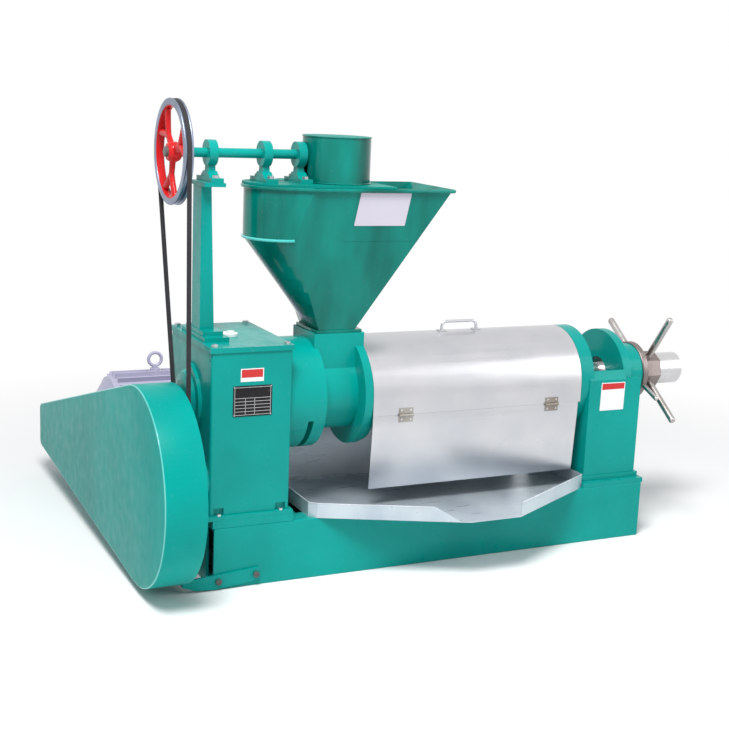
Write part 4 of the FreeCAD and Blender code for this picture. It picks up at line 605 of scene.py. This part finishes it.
def guard_line(inset, steps=64):
    """Teardrop outline in y and z at inset: the big circle between its tangents from the two tail
    corners, each at its bearing plus or minus the arc cosine of radius over distance."""
    radius = guard_radius - inset
    tail = guard_tail + np.array([[-inset, 0.9 * inset], [-inset, -0.9 * inset]])
    way = tail - guard_centre
    reach = np.linalg.norm(way, axis=1)
    bearing = np.arctan2(way[:, 1], way[:, 0])
    lean = np.arccos(radius / reach)
    angle = np.linspace(bearing[1] + lean[1], bearing[0] - lean[0] + 2 * np.pi, steps)
    arc = guard_centre + radius * np.column_stack([np.cos(angle), np.sin(angle)])
    corner_round = np.concatenate([np.full(steps, 0.0005), np.full(2, guard_tail_round - inset)])
    return eased(np.vstack([arc, tail]), corner_round, 6)


guard_stations = ((guard_outside, 0.0045), (-1.0393, 0.0022), (-1.0378, 0.0007), (-1.0355, 0.0), (-0.9135, 0.0),
                  (-0.9115, 0.0007), (-0.9110, 0.0025), (-0.9110, 0.0290), (-0.9130, 0.0290), (-0.9130, 0.0020),
                  (-1.0380, 0.0022))
guard_rings = np.stack([at_x(guard_line(inset), x) for x, inset in guard_stations])
guard_enamel = enamel("guard_enamel", teal_bright, teal_deep, 0.34, 0.46, coat=0.0)
fitted(ringed("belt_guard_shell", guard_rings), guard_enamel, "frame", "enamel_teal", "belt_guard")
# The bead round the guard's outer edge wears a paler, glossier teal than the guard: a painted highlight along that
# edge.
seam_painted_highlight = enamel("seam_painted_highlight", (0.16, 0.58, 0.54, 1), (0.05, 0.48, 0.44, 1), 0.20, 0.30, coat=0.6)
seam_path = at_x(guard_line(seam_inset), guard_outside + seam_inset)
fitted(piping("guard_seam", seam_path, seam_radius, (1, 0, 0), closed=True), seam_painted_highlight, "frame", "enamel_teal")

# Motor
# A totally enclosed fan-cooled motor on slide rails, its cast frame finned along its
# length, sprayed pale lilac grey, with a pressed fan cowl.
motor_y = 1.087
motor_foot_half = 0.159
motor_foot_x = (-0.750, -0.445)
motor_foot_top = 0.050
motor_bolt_radius = 0.0140
motor_bolt_height = 0.0100
lilac_enamel = enamel("lilac_enamel", (0.50, 0.48, 0.62, 1), (0.42, 0.40, 0.53, 1), 0.35, 0.5, peel=0.3)
dress(lilac_enamel, "motor_frame", "motor_end_covers")
for k, x in enumerate(motor_foot_x):
    for side in (-1, 1):
        hex_head(f"motor_foot_bolt_{k}_{side + 1}", (x, motor_y + side * motor_foot_half, motor_foot_top), (0, 0, 1),
                 motor_bolt_radius, motor_bolt_height, zinc_bolt)

# Feeder post and bearings
# A tapered box post stands on the gearbox lid. Three cast pedestal bearings carry the
# feeder shaft, which is painted over with the rest.
dress(sand_enamel, "feeder_bearings")
dress(teal_enamel, "feeder_post", "feeder_shaft")

# Feed wheel
# A light iron V-belt wheel: three spokes fork towards the rim, red enamel on the spider and
# inside the rim, and a bare machined rim with one groove.
wheel_x = -0.887
wheel_z = 1.338
wheel_half = 0.014
wheel_outer = 0.160
wheel_inner = 0.140
groove_half_top = 0.008
groove_half_bottom = 0.0042
groove_deep = 0.014
hub_radius = 0.027
hub_half = 0.020
band_half = 0.0125
hub_bore = 0.0150
first_spoke = 43
arm_line = ((0.022, 0), (0.048, 0), (0.078, 0))
arm_wide, arm_deep = (0.0150, 0.0120), (0.0095, 0.0080)
tine_wide, tine_deep = (0.0105, 0.0125), (0.0080, 0.0090)
wheel_red = enamel("wheel_red", (0.66, 0.020, 0.022, 1), (0.52, 0.012, 0.014, 1), 0.24, 0.36)
rim_section = eased([(wheel_x - wheel_half, wheel_inner), (wheel_x - wheel_half, wheel_outer),
                     (wheel_x - groove_half_top, wheel_outer),
                     (wheel_x - groove_half_bottom, wheel_outer - groove_deep),
                     (wheel_x + groove_half_bottom, wheel_outer - groove_deep),
                     (wheel_x + groove_half_top, wheel_outer), (wheel_x + wheel_half, wheel_outer),
                     (wheel_x + wheel_half, wheel_inner)], 0.0016, 4)
fitted(turned("feed_wheel_rim", rim_section, (0, 0, wheel_z), "x", 96), pulley_iron, "feeder", "enamel_red",
       "feed_pulley")
band_section = eased([(wheel_x - band_half + 0.001, wheel_inner - 0.0025), (wheel_x - band_half, wheel_inner + 0.0005),
                      (wheel_x + band_half, wheel_inner + 0.0005), (wheel_x + band_half - 0.001, wheel_inner - 0.0025)],
                     0.0008, 4)
fitted(turned("feed_wheel_band", band_section, (0, 0, wheel_z), "x", 96), wheel_red, "feeder", "enamel_red")
hub_section = eased([(wheel_x - hub_half, hub_bore), (wheel_x - hub_half, hub_radius - 0.002),
                     (wheel_x - 0.008, hub_radius + 0.004), (wheel_x + 0.008, hub_radius + 0.004),
                     (wheel_x + hub_half, hub_radius - 0.002), (wheel_x + hub_half, hub_bore)], 0.002, 4)
fitted(turned("feed_wheel_hub", hub_section, (0, 0, wheel_z), "x", 48), wheel_red, "feeder", "enamel_red")
shaft_end = [(wheel_x - hub_half - reach, radius) for reach, radius in
             ((0, 0), (0, 0.0153), (0.0076, 0.0153), (0.0084, 0.0140), (0.0084, 0.0040), (0.0065, 0.0015), (0.0065, 0))]
fitted(turned("feeder_shaft_end", shaft_end, (0, 0, wheel_z), "x", 32), dark_steel, "feeder", "machined_steel")


def limb(name, points, half_wide, half_deep, turn_angle):
    """Spoke limb: an oval carried along a parabola in the wheel's plane, given by three control
    points and turned about the shaft. The half widths run from the first to the second value
    of each pair."""
    step = np.linspace(0, 1, 17)[:, None]
    first, middle, last = (np.array(p, float) for p in points)
    centre = (1 - step) ** 2 * first + 2 * step * (1 - step) * middle + step ** 2 * last
    tangent = 2 * (1 - step) * (middle - first) + 2 * step * (last - middle)
    tangent = tangent / np.linalg.norm(tangent, axis=1, keepdims=True)
    normal = np.column_stack([-tangent[:, 1], tangent[:, 0]])
    angle = np.linspace(0, 2 * np.pi, 16, endpoint=False)[None, :, None]
    wide = (half_wide[0] + (half_wide[1] - half_wide[0]) * step)[:, :, None]
    deep = half_deep[0] + (half_deep[1] - half_deep[0]) * step
    flat = centre[:, None] + wide * np.cos(angle) * normal[:, None]
    cosine, sine = math.cos(turn_angle), math.sin(turn_angle)
    y = flat[..., 0] * cosine - flat[..., 1] * sine
    z = flat[..., 0] * sine + flat[..., 1] * cosine
    x = wheel_x + deep * np.sin(angle)[..., 0]
    return ringed(name, np.stack([x, y, wheel_z + z], axis=-1))


for k in range(3):
    spoke_angle = math.radians(first_spoke + 120 * k)
    arm = limb(f"feed_wheel_arm_{k}", arm_line, arm_wide, arm_deep, spoke_angle)
    fitted(arm, wheel_red, "feeder", "enamel_red")
    for side in (1, -1):
        tine_line = ((0.064, 0), (0.088, side * 0.010), (0.1290, side * 0.0520))
        tine = limb(f"feed_wheel_tine_{k}_{side + 1}", tine_line, tine_wide, tine_deep, spoke_angle)
        fitted(tine, wheel_red, "feeder", "enamel_red")

# Hopper
# Folded and welded 3 mm sheet: a half-round nose under the feed screw, a straight skirt, and
# sides that close on a square outlet. A rolled rim stiffens the mouth.
hopper_rim = 1.245
hopper_skirt = 1.078
hopper_foot = 0.785
hopper_sheet = 0.003
hopper_nose_x = -0.534
hopper_nose_radius = 0.119
hopper_fold_rim = -0.481
hopper_fold_skirt = -0.374
hopper_right = (0.002, -0.298)
hopper_half = (0.153, 0.083)
outlet_left = -0.425
nose_steps = 64
fold_offset = 0.002
fold_limit = math.radians(4)
rim_roll = 0.0063
skirt_bead = 0.0046
seam_bead = 0.0011


def at_z(plan, z):
    """Outline in x and y, set at height z."""
    plan = np.asarray(plan, float)
    return np.column_stack([plan, np.full(len(plan), z)])


def hopper_ring(height, inset):
    """Section of the hopper at a height. Above the skirt the nose is a half circle; below it
    every point runs straight to its place on the outlet's left edge. The right and the
    two long sides slope evenly from rim to outlet."""
    drop = (hopper_rim - height) / (hopper_rim - hopper_foot)
    end = hopper_right[0] + (hopper_right[1] - hopper_right[0]) * drop - inset
    half = hopper_half[0] + (hopper_half[1] - hopper_half[0]) * drop - inset
    angle = np.pi / 2 + np.pi * np.linspace(0, 1, nose_steps + 1)
    radius = hopper_nose_radius - inset
    nose = np.column_stack([hopper_nose_x + radius * np.cos(angle), radius * np.sin(angle)])
    if height >= hopper_skirt:
        share = (height - hopper_skirt) / (hopper_rim - hopper_skirt)
        fold = hopper_fold_skirt + (hopper_fold_rim - hopper_fold_skirt) * share
    else:
        share = (height - hopper_foot) / (hopper_skirt - hopper_foot)
        edge = (hopper_half[1] - inset) * (1 - 2 * np.linspace(0, 1, nose_steps + 1))
        foot = np.column_stack([np.full(nose_steps + 1, outlet_left + inset), edge])
        nose = foot + (nose - foot) * share
        fold_foot = outlet_left + inset + fold_offset
        fold = fold_foot + (hopper_fold_skirt - fold_foot) * share
    sides = np.array([(fold, -half), (end, -half), (end, half), (fold, half)])
    return at_z(np.vstack([nose, sides]), height)


# The hopper's paint is streaked up and down in strong darker and lighter runs: partly thick and thin paint, partly
# painted shade and painted reflection streaks for the sheet's sheen.
hopper_runs_and_sheen_enamel = enamel("hopper_runs_and_sheen_enamel", (0.000, 0.262, 0.212, 1), (0.000, 0.100, 0.080, 1), 0.14, 0.24, coat=0.5,
                       runs=(2.4, 2.4, 0.7))
outside_levels = np.append(np.linspace(hopper_foot, hopper_skirt, 8), hopper_rim)
hopper_rings = [hopper_ring(z, 0.0) for z in outside_levels]
hopper_rings += [hopper_ring(z, hopper_sheet) for z in outside_levels[::-1]]
hopper_body = ringed("hopper_sheet", np.stack(hopper_rings), wrap=True)
creases = []
for inset in (0.0, hopper_sheet):
    rim_points, skirt_points = hopper_ring(hopper_rim, inset), hopper_ring(hopper_skirt, inset)
    creases.append((rim_points[nose_steps + 1], skirt_points[nose_steps]))
    creases.append((rim_points[nose_steps + 4], skirt_points[0]))
folding = bmesh.new()
folding.from_mesh(hopper_body.data)
for ends in creases:
    pair = [min(folding.verts, key=lambda vert: (vert.co - Vector(point)).length) for point in ends]
    bmesh.ops.connect_vert_pair(folding, verts=pair)
folding.to_mesh(hopper_body.data)
folding.free()
hopper_body.data.set_sharp_from_angle(angle=fold_limit)
fitted(hopper_body, hopper_runs_and_sheen_enamel, "frame", "enamel_teal", "hopper_shell")
rim_path = at_z(eased(hopper_ring(hopper_rim, -0.0035)[:, :2], 0.006, 3), hopper_rim - 0.0065)
fitted(piping("hopper_rim_roll", rim_path, rim_roll, (0, 0, 1), closed=True), hopper_runs_and_sheen_enamel, "frame", "enamel_teal")
# The skirt seam takes the same paler teal as a painted highlight along the roll.
skirt_nose = hopper_ring(hopper_skirt, -0.001)[:nose_steps + 1]
fitted(piping("hopper_skirt_seam", skirt_nose, skirt_bead, (0, 0, 1)), seam_painted_highlight, "frame", "enamel_teal")
for name, side in (("hopper_front_seam", 0), ("hopper_rear_seam", 2)):
    ends = hopper_ring(hopper_skirt, 0.0)[[nose_steps + 1 + side, nose_steps + 2 + side]]
    seam = np.linspace(ends[0], ends[1], 24)
    fitted(piping(name, seam, seam_bead, (0, 0, 1), sides=8), hopper_runs_and_sheen_enamel, "frame", "enamel_teal")
flange_outline = [(-0.436, -0.087), (-0.273, -0.087), (-0.273, 0.087), (-0.436, 0.087)]
flange_rings = np.stack([at_z(eased(flange_outline, 0.006), z) for z in (0.7752, hopper_foot)])
hopper_flange = ringed("hopper_flange", flange_rings)
fitted(softened(hopper_flange, 0.0012), hopper_runs_and_sheen_enamel, "frame", "enamel_teal")
label_thick = 0.0004
label_corners = [(-0.3253, 1.2315), (-0.1476, 1.2310), (-0.1608, 1.1262), (-0.3393, 1.1267)]
slope = (hopper_half[0] - hopper_half[1]) / (hopper_rim - hopper_foot)
label_face = [(x, -(hopper_half[1] + slope * (z - hopper_foot)) - 0.0003, z) for x, z in label_corners]
label_out = (0.0, -math.cos(math.atan(slope)), -math.sin(math.atan(slope)))
paper_lilac = enamel("paper_lilac", (0.62, 0.59, 0.68, 1), (0.57, 0.54, 0.63, 1), 0.55, 0.7, peel=0.02, coat=0.0)
fitted(slab("hopper_label_blank", label_face, label_out, label_thick, 0.003), paper_lilac, "frame", "enamel_teal")

# Hopper lid and gear can
# A flat plate closes the nose end. On it stand two bearings and the round sheet can that
# covers the bevel gears, with a pressed lid.
lid_enamel = enamel("lid_enamel", (0.000, 0.270, 0.225, 1), (0.000, 0.180, 0.150, 1), 0.40, 0.52, coat=0.0)
dress(hopper_runs_and_sheen_enamel, "feeder_can")
dress(lid_enamel, "hopper_lid", "feeder_can_lid")
can_x = -0.348
can_radius = 0.110
can_beads = (("can_lid_roll", 1.3970, 0.0008, 0.0018), ("can_foot_bead", 1.2535, 0.0006, 0.0024))
angle = np.linspace(0, 2 * np.pi, 96, endpoint=False)
circle = np.column_stack([np.cos(angle), np.sin(angle)])
for name, height, rise, tube in can_beads:
    bead = piping(name, at_z((can_x, 0) + (can_radius + rise) * circle, height), tube, (0, 0, 1), closed=True)
    fitted(bead, hopper_runs_and_sheen_enamel, "frame", "enamel_teal")
bush_bronze = bare_metal("bush_bronze", (0.60, 0.40, 0.18, 1), (0.42, 0.28, 0.14, 1), (80, 80, 80), 0.30, 0.45)
dress(bush_bronze, "auger_bush")

# Throat, cage and spindle
# The cast throat joins gearbox and cage. The cage is oil-darkened grey iron round ground
# pressing bars, and the worms and cake ring are turned steel.
cage_iron = bare_metal("cage_iron", (0.17, 0.17, 0.17, 1), (0.09, 0.085, 0.08, 1), (60, 60, 60), 0.40, 0.60, 0.7)
dress(sand_enamel, "feed_throat")
dress(cage_iron, "cage_lower_half", "cage_upper_half")

# Column, sleeve and nut
# A cast stand with an open cradle takes the thrust. The nut is brown oiled iron with four
# drilled bars, and the sleeve is bright turned steel.
nut_iron = bare_metal("nut_iron", (0.28, 0.24, 0.23, 1), (0.19, 0.16, 0.15, 1), (500, 25, 25), 0.32, 0.48)
sleeve_steel = bare_metal("sleeve_steel", (0.66, 0.66, 0.67, 1), (0.52, 0.51, 0.50, 1), (700, 14, 14), 0.2, 0.34)
dress(sand_enamel, "discharge_ring", "column_stand")
dress(sleeve_steel, "adjusting_sleeve")
dress(nut_iron, "adjusting_nut")
rod_steel = bare_metal("rod_steel", (0.50, 0.48, 0.47, 1), (0.33, 0.29, 0.27, 1), (60, 60, 60), 0.26, 0.40)
dress(rod_steel, "nut_rods")
column_face = -0.183
sticker = [(0.6245, 0.5735), (0.7254, 0.5725), (0.7240, 0.4725), (0.6230, 0.4724)]
band = [(0.6275, 0.5705), (0.7220, 0.5695), (0.7215, 0.5485), (0.6270, 0.5480)]
sticker_face = [(x, column_face - 0.0002, z) for x, z in sticker]
band_face = [(x, column_face - 0.0006, z) for x, z in band]
fitted(slab("column_label_blank", sticker_face, (0, -1, 0), label_thick, 0.003), paper_white, "frame", "enamel_teal")
fitted(slab("column_label_band", band_face, (0, -1, 0), label_thick / 2), paper_red, "frame", "enamel_teal")

# Oil tray and splash plate
# Bright zinc-coated sheet. The pan's rim is folded up and rolled, and falls away at the
# spout in front of the base.
zinc_sheet = bare_metal("zinc_sheet", (0.58, 0.65, 0.70, 1), (0.44, 0.51, 0.58, 1), (5, 60, 60), 0.26, 0.42, 0.5,
                        lift=0.00005)
# The splash plate takes a paler zinc than the tray: painted reflection that lightens the plate where it sits in the
# shadow of the throat and cage.
zinc_painted_reflection = bare_metal("zinc_painted_reflection", (0.71, 0.73, 0.77, 1), (0.61, 0.64, 0.69, 1), (3, 20, 20), 0.22, 0.34, 0.3,
                         lift=0.00005)
dress(zinc_sheet, "oil_tray")
dress(zinc_painted_reflection, "splash_plate")
hem_height = 0.2482
hem_radius = 0.0018
hem_left = [(0.040, 0.2055), (-0.4875, 0.2055), (-0.4875, -0.1900), (-0.4650, -0.2128), (-0.1240, -0.3666)]
hem_right = [(0.1790, -0.4147), (0.5575, -0.1990), (0.5575, 0.2055), (0.0400, 0.2055)]
# The hem beads take the same paler zinc as a painted highlight along the rim's top edge.
for name, corners in (("tray_hem_left", hem_left), ("tray_hem_right", hem_right)):
    hem = [np.linspace(a, b, 12, endpoint=False) for a, b in zip(np.array(corners[:-1]), np.array(corners[1:]))]
    hem = at_z(np.vstack(hem + [np.array(corners[-1:])]), hem_height)
    fitted(piping(name, hem, hem_radius, (0, 0, 1), sides=8), zinc_painted_reflection, "frame", "galvanised_sheet")

# Hood
# A rolled sheet cover, half round above and straight below, lifts off the cage by a bow
# handle. Its cut edges are dressed round.
hood_x = (-0.265, 0.540)
hood_axis = 0.570
hood_radius = 0.180
hood_edge = 0.5113
hood_sheet = 0.0015
cut_edge = 0.0005
hood_zinc = bare_metal("hood_zinc", (0.61, 0.61, 0.63, 1), (0.55, 0.56, 0.59, 1), (3.0, 60, 60), 0.27, 0.36,
                       lift=0.00015)
dress(hood_zinc, "hood_handle")


def hood_line(inset):
    """Section of the hood in y and z at inset: straight up each side, then half a circle."""
    radius = hood_radius - inset
    angle = np.linspace(0, np.pi, 49)
    arc = np.column_stack([-radius * np.cos(angle), hood_axis + radius * np.sin(angle)])
    return np.vstack([[(-radius, hood_edge)], arc, [(radius, hood_edge)]])


hood_outline = np.vstack([hood_line(0.0), hood_line(hood_sheet)[::-1]])
hood = drawn_x("hood_cover", hood_outline, hood_x[0], hood_x[1])
fitted(softened(hood, cut_edge), hood_zinc, "hood", "galvanised_sheet", "hood_shell")

# Hood flap
# A flat door hangs from the hood on two small steel butt hinges, fixed with rivets. It is
# folded lengthwise so that its lower part leans in over the tray.
flap_x = (-0.265, 0.530)
flap_top, flap_fold, flap_foot = 0.5111, 0.480, 0.263
flap_lean = 0.014
flap_bend = 0.006
flap_edge = 0.0003
flap_out, flap_in = -hood_radius, -hood_radius + hood_sheet
flap_outline = eased([(flap_out, flap_top), (flap_out, flap_fold), (flap_out + flap_lean, flap_foot),
                      (flap_in + flap_lean, flap_foot), (flap_in, flap_fold), (flap_in, flap_top)],
                     (flap_edge, flap_bend, flap_edge, flap_edge, flap_bend, flap_edge), 4)
flap = drawn_x("flap_sheet", flap_outline, flap_x[0], flap_x[1])
fitted(flap, hood_zinc, "flap", "galvanised_sheet", "hood_flap")
hinge_steel = bare_metal("hinge_steel", (0.42, 0.40, 0.37, 1), (0.26, 0.22, 0.19, 1), (70, 70, 70), 0.38, 0.55, 0.8)
dress(hinge_steel, "hood_hinges", "flap_hinge_leaves")
hinge_places = (-0.146, 0.420)
hinge_axis = 0.5105
leaf_face = -0.1818
rivet_reach = (0.0165, 0.0155)
hinge_dome = [(leaf_face, 0), (leaf_face, 0.0036), (leaf_face - 0.0008, 0.0034), (leaf_face - 0.0016, 0.0022),
              (leaf_face - 0.0019, 0)]
for k, x in enumerate(hinge_places):
    for side in (-1, 1):
        for way, body in ((1, "hood"), (-1, "flap")):
            spot = (x + rivet_reach[0] * side, 0, hinge_axis + rivet_reach[1] * way)
            fitted(turned(f"{body}_rivet_{k}_{side + 1}", hinge_dome, spot, "y", 14), zinc_bolt, body, "zinc_bolt")
